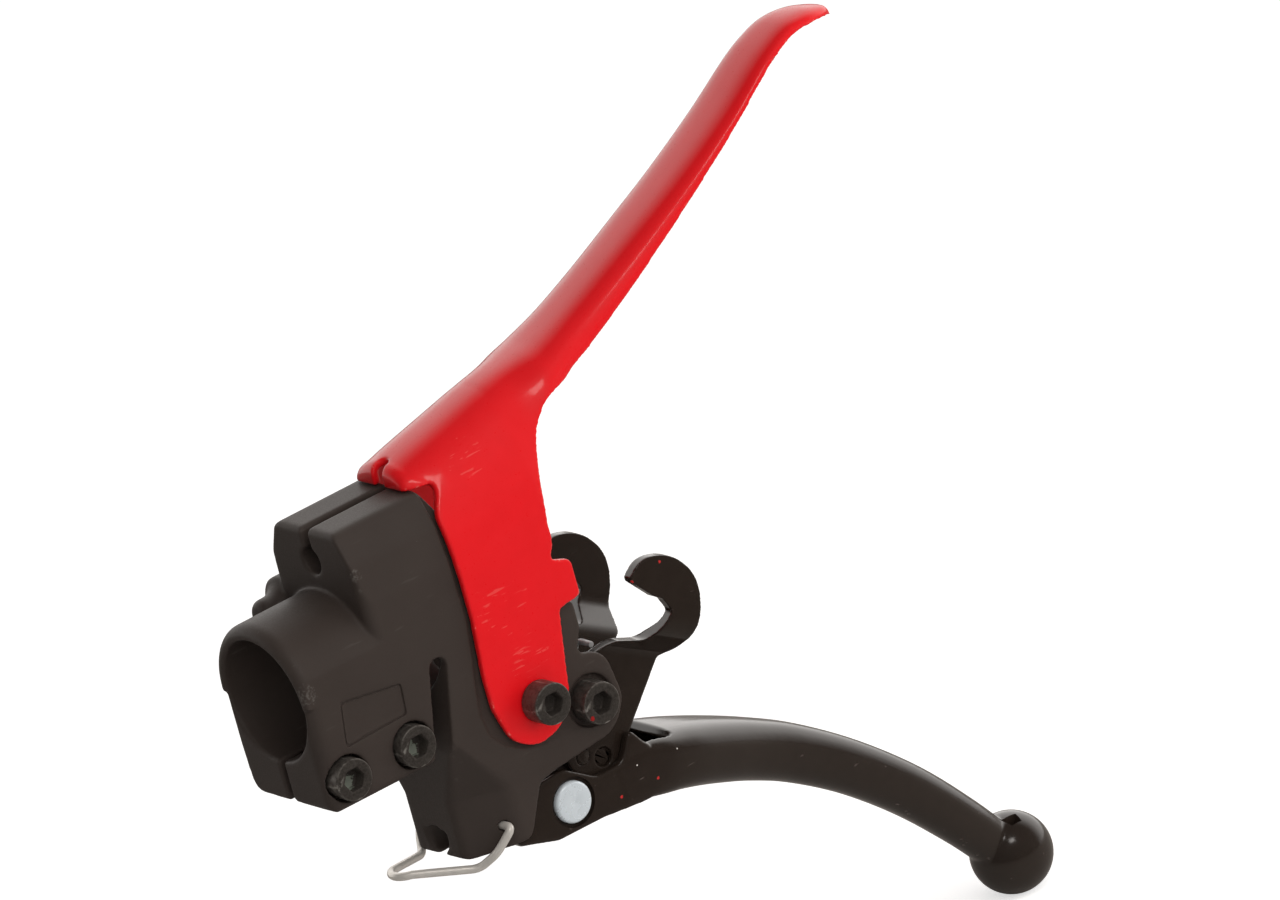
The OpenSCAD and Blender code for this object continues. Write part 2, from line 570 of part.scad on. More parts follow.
module clutch_lever() color(black) difference() {
    union() {
        both_sides() across(fork_y, fork_out) polygon(fork_outline);
        difference() {
            skin([for (i = [0:(len(handle_rows) - 1) * handle_steps]) handle_ring(i / handle_steps)]);
            fork_slot();
        }
        across(-fork_y - 1, fork_y + 1) polygon(rounded([
            [32.4, -54.4, 0.6], [32.9, -56.4, 0.6], [39.4, -58.1, 1], [39.8, -54.4, 1]]));
        translate([ball[0], 0, ball[1]]) sphere(d = ball_d);
    }
    rod(pivot_c, -fork_out - 1, fork_out + 1, pin_d + 2 * run_fit);
    rod(pivot_c, -fork_out - 1, -fork_out + 1, pin_head_d + 2);
}
// Slot between the fork's cheeks, round at its end
slot_outline = rounded([[30, -40], [30, -70], [66, -70], [75.4, -57.8, 5], [86, -43], [86, -40]]);
slot_end_x = 84.5;
module fork_slot() intersection() {
    across(-fork_y, fork_y) polygon(slot_outline);
    upward(-71, -39) polygon(rounded([
        [29, -fork_y], [slot_end_x, -fork_y, 7], [slot_end_x, fork_y, 7], [29, fork_y]], 8));
}

module lever_bush() sleeve(pivot_c, -tongue_y, tongue_y, 9, pin_d + 2 * run_fit);
module lever_washers() both_sides()
    washer(pivot_c, tongue_y + 0.05, 10.6, pin_d + 2 * run_fit, fork_y - tongue_y - 0.1);

pin_end_y = fork_out + 2.6;
module lever_pin() color(steel) translate([pivot_c[0], 0, pivot_c[1]]) rotate([-90, 0, 0]) rotate_extrude() polygon([
    [0, -fork_out - pin_head_h + 1], [pin_head_d / 2 - 0.7, -fork_out - pin_head_h + 1],
    [pin_head_d / 2, -fork_out - pin_head_h + 1.6], [pin_head_d / 2, -fork_out + 1],
    [pin_d / 2, -fork_out + 1], [pin_d / 2, fork_out + 0.1], [pin_d / 2 - 0.8, fork_out + 0.1],
    [pin_d / 2 - 0.8, fork_out + 1.1], [pin_d / 2, fork_out + 1.1], [pin_d / 2, pin_end_y - 0.5],
    [pin_d / 2 - 0.5, pin_end_y], [0, pin_end_y]]);
module lever_pin_clip() color(steel) difference() {
    rod(pivot_c, fork_out + 0.15, fork_out + 1.05, 10);
    rod(pivot_c, fork_out, fork_out + 2, pin_d - 1.5);
    translate([pivot_c[0] - 2, fork_out, pivot_c[1]]) cube([4, 2, 10]);
}

// Wire bail, hooked in the leg's flanks
bail_bend = [25.4, 15.6, -leg_drop + 0.6];
bail_knee = [22.4, 11.4, -leg_drop - 2.4];
bail_nose = [10.4, 0, -leg_drop + 1];
bail_nose_r = 4.4;
bail_in = [bail_eye[0], bail_eye_y - bail_reach, bail_eye[1]];
bail_out = [bail_eye[0], bail_eye_y + 0.6, bail_eye[1]];
bail_half = concat(
    [bail_in], eased(bail_in, bail_out, bail_bend, 1.8), eased(bail_out, bail_bend, bail_knee, 1.5),
    eased(bail_bend, bail_knee, bail_nose + [0, bail_nose_r, 0], 2),
    [for (a = [60:15:180]) bail_nose + bail_nose_r * [cos(a), sin(a), 0]]);
module wire_bail() color(steel)
    wire(concat(bail_half, [for (i = [len(bail_half) - 2:-1:0]) [bail_half[i][0], -bail_half[i][1], bail_half[i][2]]]),
        bail_d, 10);

housing();
clamp_screw_front();
clamp_screw_rear();
clamp_nut_front();
clamp_nut_rear();
safety_lever();
safety_lever_screw();
safety_lever_bush();
safety_lever_washer();
safety_lever_nut();
safety_lever_spring();
hook_near();
hook_far();
hook_screw();
hook_bush();
hook_washer();
hook_nut();
hook_spring();
hook_stop_pin();
hook_rivet();
clutch_lever();
lever_bush();
lever_washers();
lever_pin();
lever_pin_clip();
wire_bail();
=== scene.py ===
"""Handlebar control: looks of the housing, the two levers, the hook plates and their hardware."""

import json
import math

import bmesh
import bpy
from mathutils import Matrix, Vector

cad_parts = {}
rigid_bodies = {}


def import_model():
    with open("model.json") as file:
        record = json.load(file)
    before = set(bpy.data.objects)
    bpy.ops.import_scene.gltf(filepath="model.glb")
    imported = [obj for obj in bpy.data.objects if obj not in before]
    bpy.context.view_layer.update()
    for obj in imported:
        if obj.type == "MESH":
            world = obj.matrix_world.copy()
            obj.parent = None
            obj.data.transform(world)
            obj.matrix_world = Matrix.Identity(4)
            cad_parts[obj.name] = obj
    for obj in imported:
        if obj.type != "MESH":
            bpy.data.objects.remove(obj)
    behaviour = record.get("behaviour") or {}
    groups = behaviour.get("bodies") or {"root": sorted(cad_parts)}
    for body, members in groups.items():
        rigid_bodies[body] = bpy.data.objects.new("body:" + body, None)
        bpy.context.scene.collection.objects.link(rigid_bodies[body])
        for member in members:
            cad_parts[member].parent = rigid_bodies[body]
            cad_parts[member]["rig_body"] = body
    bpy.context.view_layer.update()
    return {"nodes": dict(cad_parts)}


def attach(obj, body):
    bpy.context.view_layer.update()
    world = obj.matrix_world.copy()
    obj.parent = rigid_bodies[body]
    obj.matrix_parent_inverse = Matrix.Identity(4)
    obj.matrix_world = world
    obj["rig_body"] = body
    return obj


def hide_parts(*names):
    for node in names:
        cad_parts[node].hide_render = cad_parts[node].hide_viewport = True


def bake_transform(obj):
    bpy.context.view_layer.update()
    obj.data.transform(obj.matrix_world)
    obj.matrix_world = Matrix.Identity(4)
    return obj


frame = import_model()
nodes = frame["nodes"]
MM = 0.001

# Sizes shared with the solids, in millimetres: Y is across the tube, and a pivot is its x and z
PANEL_Y = 17.2
SHEET_T = 2.0
SHEET_Y = PANEL_Y + 1.7
BLOCK_TOP = 33.8
SAFETY_PIVOT = (44.3, -23.1)
HOOK_PIVOT = (59.3, -30.2)
CLUTCH_PIVOT = (49.0, -51.9)
FORK_INNER = 11.4
FORK_OUTER = 13.9

# Points nearer to each other than this, in metres, are one; a CAD node's are stored more coarsely
SAME_POINT = 1e-7
SAME_CAD_POINT = 1e-6


# Outlines and curves

def unit(vector):
    """The same direction, one long."""
    length = math.hypot(*vector)
    return tuple(c / length for c in vector)


def arc(centre, radius, start, end, steps):
    """Points on an arc, angles in degrees."""
    points = []
    for i in range(steps + 1):
        angle = math.radians(start + (end - start) * i / steps)
        points.append((centre[0] + radius * math.cos(angle), centre[1] + radius * math.sin(angle)))
    return points


def rounded(outline, steps=8):
    """Outline with its corners rounded: each point is (x, y) or (x, y, radius)."""
    points = []
    for i, corner in enumerate(outline):
        if len(corner) == 2:
            points.append(corner)
            continue
        before, after = outline[i - 1], outline[(i + 1) % len(outline)]
        x, y, radius = corner
        u = unit((before[0] - x, before[1] - y))
        v = unit((after[0] - x, after[1] - y))
        half = math.acos(max(-1, min(1, u[0] * v[0] + u[1] * v[1]))) / 2
        bisector = unit((u[0] + v[0], u[1] + v[1]))
        reach = radius / math.sin(half)
        centre = (x + bisector[0] * reach, y + bisector[1] * reach)
        tangent = radius / math.tan(half)
        first = (x + u[0] * tangent - centre[0], y + u[1] * tangent - centre[1])
        last = (x + v[0] * tangent - centre[0], y + v[1] * tangent - centre[1])
        turn = 1 if first[0] * last[1] > first[1] * last[0] else -1
        start = math.degrees(math.atan2(first[1], first[0]))
        points += arc(centre, radius, start, start + turn * (180 - 2 * math.degrees(half)), steps)
    return points


def run(rows, t):
    """Smooth value between rows of numbers, at row number t."""
    last = len(rows) - 1
    i = min(last, int(math.floor(t)))
    f = t - i
    a, b, c, d = (rows[max(0, min(last, i + k))] for k in (-1, 0, 1, 2))
    return [
        q + f * (r - p) / 2 + f * f * (2 * p - 5 * q + 4 * r - s) / 2 + f ** 3 * (3 * q - p - 3 * r + s) / 2
        for p, q, r, s in zip(a, b, c, d)
    ]


# Meshes

def mesh_object(name, points, faces):
    """New mesh object from points in millimetres."""
    mesh = bpy.data.meshes.new(name)
    mesh.from_pydata([tuple(c * MM for c in p) for p in points], [], faces)
    piece = bpy.data.objects.new(name, mesh)
    bpy.context.scene.collection.objects.link(piece)
    return piece


def outward(piece):
    """Merges doubles and turns every face outwards."""
    shape = bmesh.new()
    shape.from_mesh(piece.data)
    bmesh.ops.remove_doubles(shape, verts=shape.verts, dist=SAME_POINT)
    bmesh.ops.recalc_face_normals(shape, faces=shape.faces)
    shape.to_mesh(piece.data)
    shape.free()
    return piece


def prism(name, outline, low, high, axis="y"):
    """Solid drawn out along an axis; the outline's points hold the other two coordinates in turn."""
    n = len(outline)
    place = {
        "x": lambda a, b, t: (t, a, b),
        "y": lambda a, b, t: (a, t, b),
        "z": lambda a, b, t: (a, b, t)}[axis]
    points = [place(a, b, t) for t in (low, high) for a, b in outline]
    faces = [tuple(range(n)), tuple(range(2 * n - 1, n - 1, -1))]
    faces += [(i, i + n, (i + 1) % n + n, (i + 1) % n) for i in range(n)]
    return outward(mesh_object(name, points, faces))


def loft(name, rings):
    """Closed skin over rings with equal numbers of points."""
    n = len(rings[0])
    last = len(rings) - 1
    faces = [tuple(range(n)), tuple(last * n + k for k in reversed(range(n)))]
    for i in range(last):
        for k in range(n):
            q = (k + 1) % n
            faces.append((i * n + k, (i + 1) * n + k, (i + 1) * n + q, i * n + q))
    return outward(mesh_object(name, [p for ring in rings for p in ring], faces))


def lathe(name, profile, centre, sides=64):
    """Round solid about Y at the centre's x and z, from (radius, y) points."""
    rings = []
    for radius, y in profile:
        ring = []
        for k in range(sides):
            angle = 2 * math.pi * k / sides
            ring.append((centre[0] + radius * math.cos(angle), y, centre[1] + radius * math.sin(angle)))
        rings.append(ring)
    return loft(name, rings)


def pressed_sheet(name, layer, thickness):
    """Closed sheet between two layers of points that share their faces, joined along their free edges."""
    outer, faces = layer(0)
    inner, _ = layer(thickness)
    shift = len(outer)
    uses = {}
    for face in faces:
        for a, b in zip(face, face[1:] + face[:1]):
            uses.setdefault(frozenset((a, b)), []).append((a, b))
    free = [edge[0] for edge in uses.values() if len(edge) == 1]
    skins = faces + [tuple(i + shift for i in reversed(face)) for face in faces]
    rim = [(b, a, a + shift, b + shift) for a, b in free]
    return outward(mesh_object(name, outer + inner, skins + rim))


def settle(piece):
    """Turns the evaluated piece, modifiers and all, into a plain mesh."""
    graph = bpy.context.evaluated_depsgraph_get()
    mesh = bpy.data.meshes.new_from_object(piece.evaluated_get(graph))
    piece.modifiers.clear()
    piece.data = mesh
    return piece


def combine(piece, other, operation):
    """Boolean of two solids; the second is used up."""
    modifier = piece.modifiers.new("combine", "BOOLEAN")
    modifier.object = other
    modifier.operation = operation
    modifier.solver = "EXACT"
    settle(piece)
    bpy.data.objects.remove(other)
    return piece


def bore(piece, centre, radius, low, high):
    """Cuts a round hole about Y, from y low to high."""
    return combine(piece, lathe("bore", [(radius, low), (radius, high)], centre), "DIFFERENCE")


def joined(name, *pieces):
    """One object that holds the meshes of several."""
    shape = bmesh.new()
    for piece in pieces:
        shape.from_mesh(piece.data)
        bpy.data.objects.remove(piece)
    mesh = bpy.data.meshes.new(name)
    shape.to_mesh(mesh)
    shape.free()
    whole = bpy.data.objects.new(name, mesh)
    bpy.context.scene.collection.objects.link(whole)
    return whole


def solid_copy(node, name):
    """Closed copy of a CAD node."""
    piece = bpy.data.objects.new(name, nodes[node].data.copy())
    bpy.context.scene.collection.objects.link(piece)
    piece.data.materials.clear()
    shape = bmesh.new()
    shape.from_mesh(piece.data)
    bmesh.ops.remove_doubles(shape, verts=shape.verts, dist=SAME_CAD_POINT)
    bmesh.ops.dissolve_degenerate(shape, edges=shape.edges, dist=SAME_POINT)
    shape.to_mesh(piece.data)
    shape.free()
    return piece


def smooth_shaded(piece, angle=None):
    """Smooth shading, with creases kept above an angle in degrees where one is given."""
    piece.data.polygons.foreach_set("use_smooth", [True] * len(piece.data.polygons))
    if angle is not None:
        piece.data.set_sharp_from_angle(angle=math.radians(angle))
    return piece


def cast(piece, grain, passes, most):
    """Rounds every edge as a mould does: even mesh, relaxed, then thinned to at most so many triangles."""
    remesh = piece.modifiers.new("even", "REMESH")
    remesh.mode = "VOXEL"
    remesh.voxel_size = grain * MM
    relax = piece.modifiers.new("relax", "SMOOTH")
    relax.factor = 0.5
    relax.iterations = passes
    settle(piece)
    triangles = sum(len(p.vertices) - 2 for p in piece.data.polygons)
    if triangles > most:
        thin = piece.modifiers.new("thin", "DECIMATE")
        thin.ratio = most / triangles
        settle(piece)
    return smooth_shaded(piece)


def bevelled(piece, width, angle, segments):
    """Breaks every edge sharper than an angle in degrees."""
    bevel = piece.modifiers.new("edges", "BEVEL")
    bevel.width = width * MM
    bevel.segments = segments
    bevel.limit_method = "ANGLE"
    bevel.angle_limit = math.radians(angle)
    bevel.use_clamp_overlap = False
    return settle(piece)


def finished(piece, body, finish, slot, *stands_for):
    """Gives a piece its material and body, and hides the CAD nodes that it stands for; slot is not used."""
    piece.data.materials.clear()
    piece.data.materials.append(finish)
    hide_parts(*stands_for)
    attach(piece, body)
    return piece


# Shader nodes

def shader_node(tree, kind, **values):
    """New shader node: in0, in1 and so on go to its inputs, and any other value is a setting."""
    made = tree.nodes.new("ShaderNode" + kind)
    for key, value in values.items():
        socket = made.inputs[int(key[2:])] if key.startswith("in") and key[2:].isdigit() else None
        if socket is None:
            setattr(made, key, value)
        elif isinstance(value, bpy.types.NodeSocket):
            tree.links.new(value, socket)
        else:
            socket.default_value = value
    return made


def noise(tree, place, scale, detail, rough=0.5):
    """Noise value with features of 1 / scale metres."""
    made = shader_node(tree, "TexNoise", in0=place)
    made.inputs["Scale"].default_value = scale
    made.inputs["Detail"].default_value = detail
    made.inputs["Roughness"].default_value = rough
    return made.outputs["Fac"]


def ramp(tree, value, low, high, start=0.0, end=1.0):
    """Value carried from low..high over to start..end, clamped."""
    return shader_node(tree, "MapRange", in0=value, in1=low, in2=high, in3=start, in4=end).outputs[0]


def times(tree, a, b):
    """Product of two values."""
    return shader_node(tree, "Math", operation="MULTIPLY", in0=a, in1=b).outputs[0]


def greater(tree, a, b):
    """The greater of two values."""
    return shader_node(tree, "Math", operation="MAXIMUM", in0=a, in1=b).outputs[0]


def along(tree, place, direction):
    """How far a place lies along a direction."""
    made = shader_node(tree, "VectorMath", operation="DOT_PRODUCT", in0=place, in1=tuple(direction))
    return made.outputs["Value"]


def blended(tree, share, a, b):
    """Colour a, turning into b by share."""
    made = tree.nodes.new("ShaderNodeMix")
    made.data_type = "RGBA"
    for socket, value in ((made.inputs[0], share), (made.inputs[6], a), (made.inputs[7], b)):
        if isinstance(value, bpy.types.NodeSocket):
            tree.links.new(value, socket)
        else:
            socket.default_value = value if isinstance(value, float) else (*value, 1)
    return made.outputs[2]


def layered(tree, colour, *layers):
    """Colour with layers over it, each given as the share of it that shows and its own colour."""
    for share, over in layers:
        colour = blended(tree, share, colour, over)
    return colour


# A spot's edge wanders by this share of its radius, and fades out over the rest of this one
RAGGED = 1.6
SPOT_CORE = 0.8


def near(tree, place, spot, radius):
    """One inside a ragged spot about a point in millimetres, fading out at its edge."""
    away = shader_node(tree, "VectorMath", operation="DISTANCE", in0=place, in1=[c * MM for c in spot])
    wander = shader_node(
        tree, "Math", operation="MULTIPLY_ADD", in0=noise(tree, place, 1400, 3),
        in1=radius * MM * RAGGED, in2=-RAGGED / 2 * radius * MM)
    total = shader_node(tree, "Math", operation="ADD", in0=away.outputs["Value"], in1=wander.outputs[0])
    return ramp(tree, total.outputs[0], radius * MM, radius * MM * SPOT_CORE)


def spots(tree, place, *places):
    """One inside any of several ragged spots, each a point and a radius in millimetres."""
    inside = near(tree, place, *places[0])
    for spot, radius in places[1:]:
        inside = greater(tree, inside, near(tree, place, spot, radius))
    return inside


def scratches(tree, place, turn, length, fineness, share):
    """Thin straight marks: noise drawn out along one direction and cut to its crests."""
    laid = shader_node(tree, "Mapping", in0=place)
    laid.inputs["Rotation"].default_value = [math.radians(a) for a in turn]
    laid.inputs["Scale"].default_value = (1 / length, fineness, fineness)
    lines = noise(tree, laid.outputs[0], 1000, 1.5, 0.4)
    return ramp(tree, lines, 1 - share, 1 - share * 0.85)


def convex_edges(tree, low, high):
    """One on sharp outer edges, where wear shows first."""
    return ramp(tree, tree.nodes.new("ShaderNodeNewGeometry").outputs["Pointiness"], low, high)


def patchy(tree, place, mask, scale, detail, low, high, rough=0.5):
    """Mask kept only where a noise runs high, so that wear comes in patches."""
    return times(tree, mask, ramp(tree, noise(tree, place, scale, detail, rough), low, high))


# Materials

COAT_ROUGHNESS = 0.1


def material(name, colour, roughness, metallic=0.0, coat=0.0, specular=0.5):
    """New material, its tree and the object coordinates; what is constant is set on the shader."""
    made = bpy.data.materials.new(name)
    made.use_nodes = True
    tree = made.node_tree
    shader = tree.nodes["Principled BSDF"]
    shader.inputs["Base Color"].default_value = (*colour, 1)
    shader.inputs["Roughness"].default_value = roughness
    shader.inputs["Metallic"].default_value = metallic
    shader.inputs["Coat Weight"].default_value = coat
    shader.inputs["Coat Roughness"].default_value = COAT_ROUGHNESS
    shader.inputs["Specular IOR Level"].default_value = specular
    place = tree.nodes.new("ShaderNodeTexCoord").outputs["Object"]
    return made, tree, place


def surfaced(made, colour, roughness, height, strength, depth):
    """Links a material's colour, roughness and bump; the bump's depth is in millimetres."""
    tree = made.node_tree
    shader = tree.nodes["Principled BSDF"]
    tree.links.new(colour, shader.inputs["Base Color"])
    tree.links.new(roughness, shader.inputs["Roughness"])
    relief = shader_node(tree, "Bump", in0=strength, in1=depth * MM)
    tree.links.new(height, relief.inputs["Height"])
    tree.links.new(relief.outputs[0], shader.inputs["Normal"])
    if shader.inputs["Coat Weight"].default_value > 0:
        tree.links.new(relief.outputs[0], shader.inputs["Coat Normal"])
    return made


def moulded_plastic():
    """Charcoal moulding with a fine grain, rubbed edges, two scuffs and a speck of dust."""
    made, tree, place = material("charcoal_moulding", (0.028, 0.023, 0.02), 0.5, specular=0.25)
    cloud = noise(tree, place, 70, 3)
    grain = noise(tree, place, 2600, 3, 0.6)
    rubbed = patchy(tree, place, convex_edges(tree, 0.53, 0.6), 260, 4, 0.42, 0.62)
    marks = times(tree, scratches(tree, place, (0, 25, 10), 9, 0.9, 0.3), ramp(tree, cloud, 0.5, 0.62))
    knocked = spots(tree, place, ((-13.4, -16.2, 3.5), 2.6), ((8.3, -15.6, 24), 1.6))
    scuffs = patchy(tree, place, knocked, 1500, 4, 0.45, 0.62)
    dust = near(tree, place, (26.4, -15.6, 24.6), 0.24)
    colour = layered(
        tree, blended(tree, cloud, (0.036, 0.0272, 0.0234), (0.044, 0.034, 0.0294)),
        (times(tree, rubbed, 0.3), (0.11, 0.1, 0.092)),
        (times(tree, greater(tree, times(tree, marks, 0.25), scuffs), 0.3), (0.17, 0.16, 0.147)),
        (dust, (0.7, 0.68, 0.65)))
    return surfaced(made, colour, ramp(tree, grain, 0.3, 0.7, 0.42, 0.58), grain, 0.25, 0.06)


def red_enamel():
    """Red stoved paint with scratched cheeks, chipped edges and the handle's tip worn bare."""
    made, tree, place = material("red_enamel", (0.66, 0.006, 0.01), 0.3, coat=0.45, specular=0.2)
    flow = noise(tree, place, 240, 2)
    fine = noise(tree, place, 1700, 4, 0.65)
    chips = patchy(tree, place, convex_edges(tree, 0.52, 0.56), 520, 5, 0.57, 0.64, rough=0.7)
    handled = spots(tree, place, ((47, -13, 36), 5), ((42, -18.9, 2), 7), ((45, -18.9, -12), 6))
    falling = scratches(tree, place, (0, -30, 0), 7, 1.1, 0.36)
    rising = scratches(tree, place, (0, 50, 0), 5, 1.3, 0.34)
    scuffs = times(tree, greater(tree, falling, rising), handled)
    bare = spots(tree, place, ((158.5, -8.6, 86.7), 1.6), ((165, -8.2, 89.9), 0.8))
    colour = layered(
        tree, blended(tree, flow, (0.635, 0.0045, 0.008), (0.685, 0.006, 0.0105)),
        (times(tree, scuffs, 0.13), (0.85, 0.3, 0.26)),
        (times(tree, chips, 0.7), (0.8, 0.36, 0.3)),
        (times(tree, bare, ramp(tree, fine, 0.5, 0.6)), (0.12, 0.09, 0.085)))
    return surfaced(made, colour, ramp(tree, fine, 0.3, 0.7, 0.26, 0.4), flow, 0.06, 0.15)


RED_SPOTS = [
    ((76.6, -19.5, -7.6), 0.6), ((85.2, -19.5, -6), 0.4), ((82.2, -19.5, -19.5), 0.4),
    ((78.4, -13.4, -49.3), 0.5), ((72.5, -13.9, -56.3), 0.45), ((61.8, -13.9, -56.3), 0.4)]
PALE_SPECKS = [((68, -13.9, -51), 0.22), ((79.8, -13.7, -52.1), 0.22), ((78, -19.5, -21.3), 0.22)]


def black_enamel():
    """Black gloss paint with spots of the red one, pale specks, fine scratches and rubbed edges."""
    made, tree, place = material("black_enamel", (0.018, 0.0125, 0.0095), 0.2, coat=0.2)
    flow = noise(tree, place, 320, 2)
    fine = noise(tree, place, 2100, 3, 0.6)
    marks = times(tree, scratches(tree, place, (0, 20, 35), 6, 1.2, 0.3), ramp(tree, flow, 0.55, 0.65))
    rubbed = patchy(tree, place, convex_edges(tree, 0.56, 0.62), 600, 4, 0.5, 0.6)
    splashed = layered(
        tree, blended(tree, flow, (0.016, 0.011, 0.0083), (0.021, 0.0148, 0.0115)),
        *((near(tree, place, *spot), (0.42, 0.02, 0.02)) for spot in RED_SPOTS),
        *((near(tree, place, *speck), (0.6, 0.58, 0.55)) for speck in PALE_SPECKS))
    colour = layered(
        tree, splashed,
        (times(tree, marks, 0.3), (0.2, 0.16, 0.15)),
        (times(tree, rubbed, 0.3), (0.13, 0.11, 0.1)))
    return surfaced(made, colour, ramp(tree, fine, 0.3, 0.7, 0.14, 0.24), flow, 0.05, 0.15)


def oxide_black():
    """Blackened screw steel, rubbed on its edges, with a painted highlight in the clamp screws' sockets."""
    made, tree, place = material("black_oxide_steel", (0.035, 0.033, 0.031), 0.38, metallic=0.55)
    fine = noise(tree, place, 2400, 4, 0.6)
    rubbed = patchy(tree, place, convex_edges(tree, 0.52, 0.58), 900, 3, 0.36, 0.56)
    # Lighter patches in the clamp screws' socket bottoms are a painted highlight
    socket_highlight = spots(tree, place, ((-9.4, -16, -20.4), 2.1), ((9.4, -16, -20.4), 2.1))
    colour = layered(
        tree, blended(tree, ramp(tree, fine, 0.35, 0.65), (0.045, 0.038, 0.033), (0.078, 0.068, 0.06)),
        (times(tree, rubbed, 0.8), (0.34, 0.32, 0.29)),
        (near(tree, place, (55.7, -21, -32.5), 0.6), (0.5, 0.02, 0.02)),
        (times(tree, socket_highlight, 0.8), (0.34, 0.38, 0.32)))
    return surfaced(made, colour, ramp(tree, fine, 0.3, 0.7, 0.32, 0.46), fine, 0.12, 0.03)


def bright_zinc():
    """Zinc plating, slightly clouded."""
    made, tree, place = material("bright_zinc", (0.72, 0.76, 0.78), 0.24, metallic=0.35)
    cloud = noise(tree, place, 400, 3)
    colour = blended(tree, cloud, (0.68, 0.75, 0.8), (0.74, 0.81, 0.86))
    rough = ramp(tree, cloud, 0.3, 0.7, 0.22, 0.32)
    return surfaced(made, colour, rough, noise(tree, place, 3000, 3), 0.02, 0.003)


def drawn_wire(name, dark, light):
    """Wire with the fine streaks of its drawing."""
    made, tree, place = material(name, light, 0.3, metallic=0.45)
    colour = blended(tree, noise(tree, place, 500, 3), dark, light)
    rough = ramp(tree, scratches(tree, place, (0, 30, 0), 6, 2.0, 0.5), 0, 1, 0.3, 0.45)
    return surfaced(made, colour, rough, noise(tree, place, 2500, 3), 0.04, 0.01)


PLASTIC = moulded_plastic()
RED = red_enamel()
BLACK = black_enamel()
OXIDE = oxide_black()
ZINC = bright_zinc()
STAINLESS = drawn_wire("stainless_wire", (0.62, 0.59, 0.55), (0.8, 0.77, 0.72))
SPRING_STEEL = drawn_wire("spring_steel", (0.2, 0.2, 0.2), (0.42, 0.42, 0.43))


# Safety lever, pressed from sheet

# Place along the tube, crown's height, half width, the height where it is widest, rim's height, squareness
LEVER_ROWS = [
    (33.3, 39.6, 18.9, 8, 8, 2.4), (40, 41.5, 18.9, 8, 8, 2.4), (50, 44, 18.9, 8, 8, 2.4),
    (58.4, 46.1, 18.9, 8, 8, 2.4), (60.2, 46.5, 18.8, 8, 16.8, 2.4), (62.1, 47, 18.4, 9, 25.6, 2.4),
    (65.4, 47.7, 17.4, 14, 33.8, 2.4), (69.1, 48.4, 15.9, 25, 38.2, 2.4),
    (73.1, 49.2, 14.3, 36, 40.8, 2.4), (79, 50.6, 12.4, 42.2, 42.2, 2.5), (88, 53.8, 11.2, 46, 46, 2.6),
    (99.8, 58.9, 10.7, 51.8, 51.8, 2.6), (113.9, 65.5, 10.3, 59.6, 59.6, 2.6),
    (128.3, 72.5, 9.7, 67.9, 67.9, 2.6), (143, 80.6, 9.1, 77, 77, 2.6), (154, 87.7, 8.5, 84.5, 84.5, 2.6),
    (160, 91, 8, 88, 88, 2.6), (166, 93.2, 7.3, 90.2, 90.2, 2.6), (172, 93.3, 6.3, 90.3, 90.3, 2.6),
    (177, 92, 4.6, 89.6, 89.6, 2.6), (179.6, 90.9, 2.8, 88.8, 88.8, 2.6)]
CHEEK = rounded([
    (58.4, 8), (58, 6.3, 1), (62.9, 4.5, 1.8), (62.9, -4.6, 1.2), (56.5, -5.4, 1), (53.9, -19.8),
    (53.2, -24.5, 8), (49, -31.8, 8), (41, -33.4, 8), (34.8, -29.5, 8), (32.1, -20.3, 8), (32, -12.7),
    (33.3, 1.7)], 10)
LEVER_STEPS = 8
FLANK_POINTS = 30
ACROSS = 2 * FLANK_POINTS + 1
# The cheeks hang from the rows up to this one
CHEEK_ROW = 3
LIP_Z = BLOCK_TOP + 0.4
LIP_R = 3.0
LIP_ROLLS = 8
# Openings in the corners between the lip and the flanks: middle, half length across and depth
CORNER_Y = 12.8
CORNER_REACH = 3.8
CORNER_DEPTH = 3.4
# Slot in the middle of the lip: where it opens, the centre of its round end, and its half width
NOTCH_MOUTH = 26
NOTCH_X = 32.5
NOTCH_R = 1.7
SLEEVE_HOLE_R = 4.05


def lever_arch(row, inset):
    """Section of the channel from rim to rim, drawn in by inset."""
    x, crown, half, base, rim, squareness = row
    half, crown, power = half - inset, crown - inset, 2 / squareness
    end = math.acos(max(0.0, (rim - base) / (crown - base)) ** (squareness / 2))
    section = []
    for k in range(-FLANK_POINTS, FLANK_POINTS + 1):
        a = end * k / FLANK_POINTS
        y = math.copysign(half * abs(math.sin(a)) ** power, k)
        section.append((x, y, base + (crown - base) * max(0.0, math.cos(a)) ** power))
    return section


def corner_opening(y, inset):
    """Share of the corner opening's depth at y: one at its middle, nothing outside it."""
    off = (abs(y) + inset - CORNER_Y) / CORNER_REACH
    return max(0, 1 - off * off) ** 2


def add_lip(points, faces, radius):
    """Lip, rolled down from the crown's front edge as far as its foot."""
    lipped = [k for k, point in enumerate(lever_arch(LEVER_ROWS[0], 0)) if point[2] > LIP_Z]
    previous = {k: k for k in lipped}
    for j in range(1, LIP_ROLLS + 2):
        current = {}
        for k in lipped:
            x, y, z = points[k]
            full_turn = math.acos(1 - max(0, min(1, (z - LIP_Z) / radius)))
            turn = full_turn * min(j, LIP_ROLLS) / LIP_ROLLS
            low = z - radius * (1 - math.cos(turn)) if j <= LIP_ROLLS else min(z, LIP_Z)
            current[k] = k if k in (lipped[0], lipped[-1]) else len(points)
            if current[k] != k:
                points.append((x - radius * math.sin(turn), y, low))
        for a, b in zip(lipped, lipped[1:]):
            corners = [previous[a], previous[b], current[b], current[a]]
            faces.append(tuple(dict.fromkeys(corners)))
        previous = current


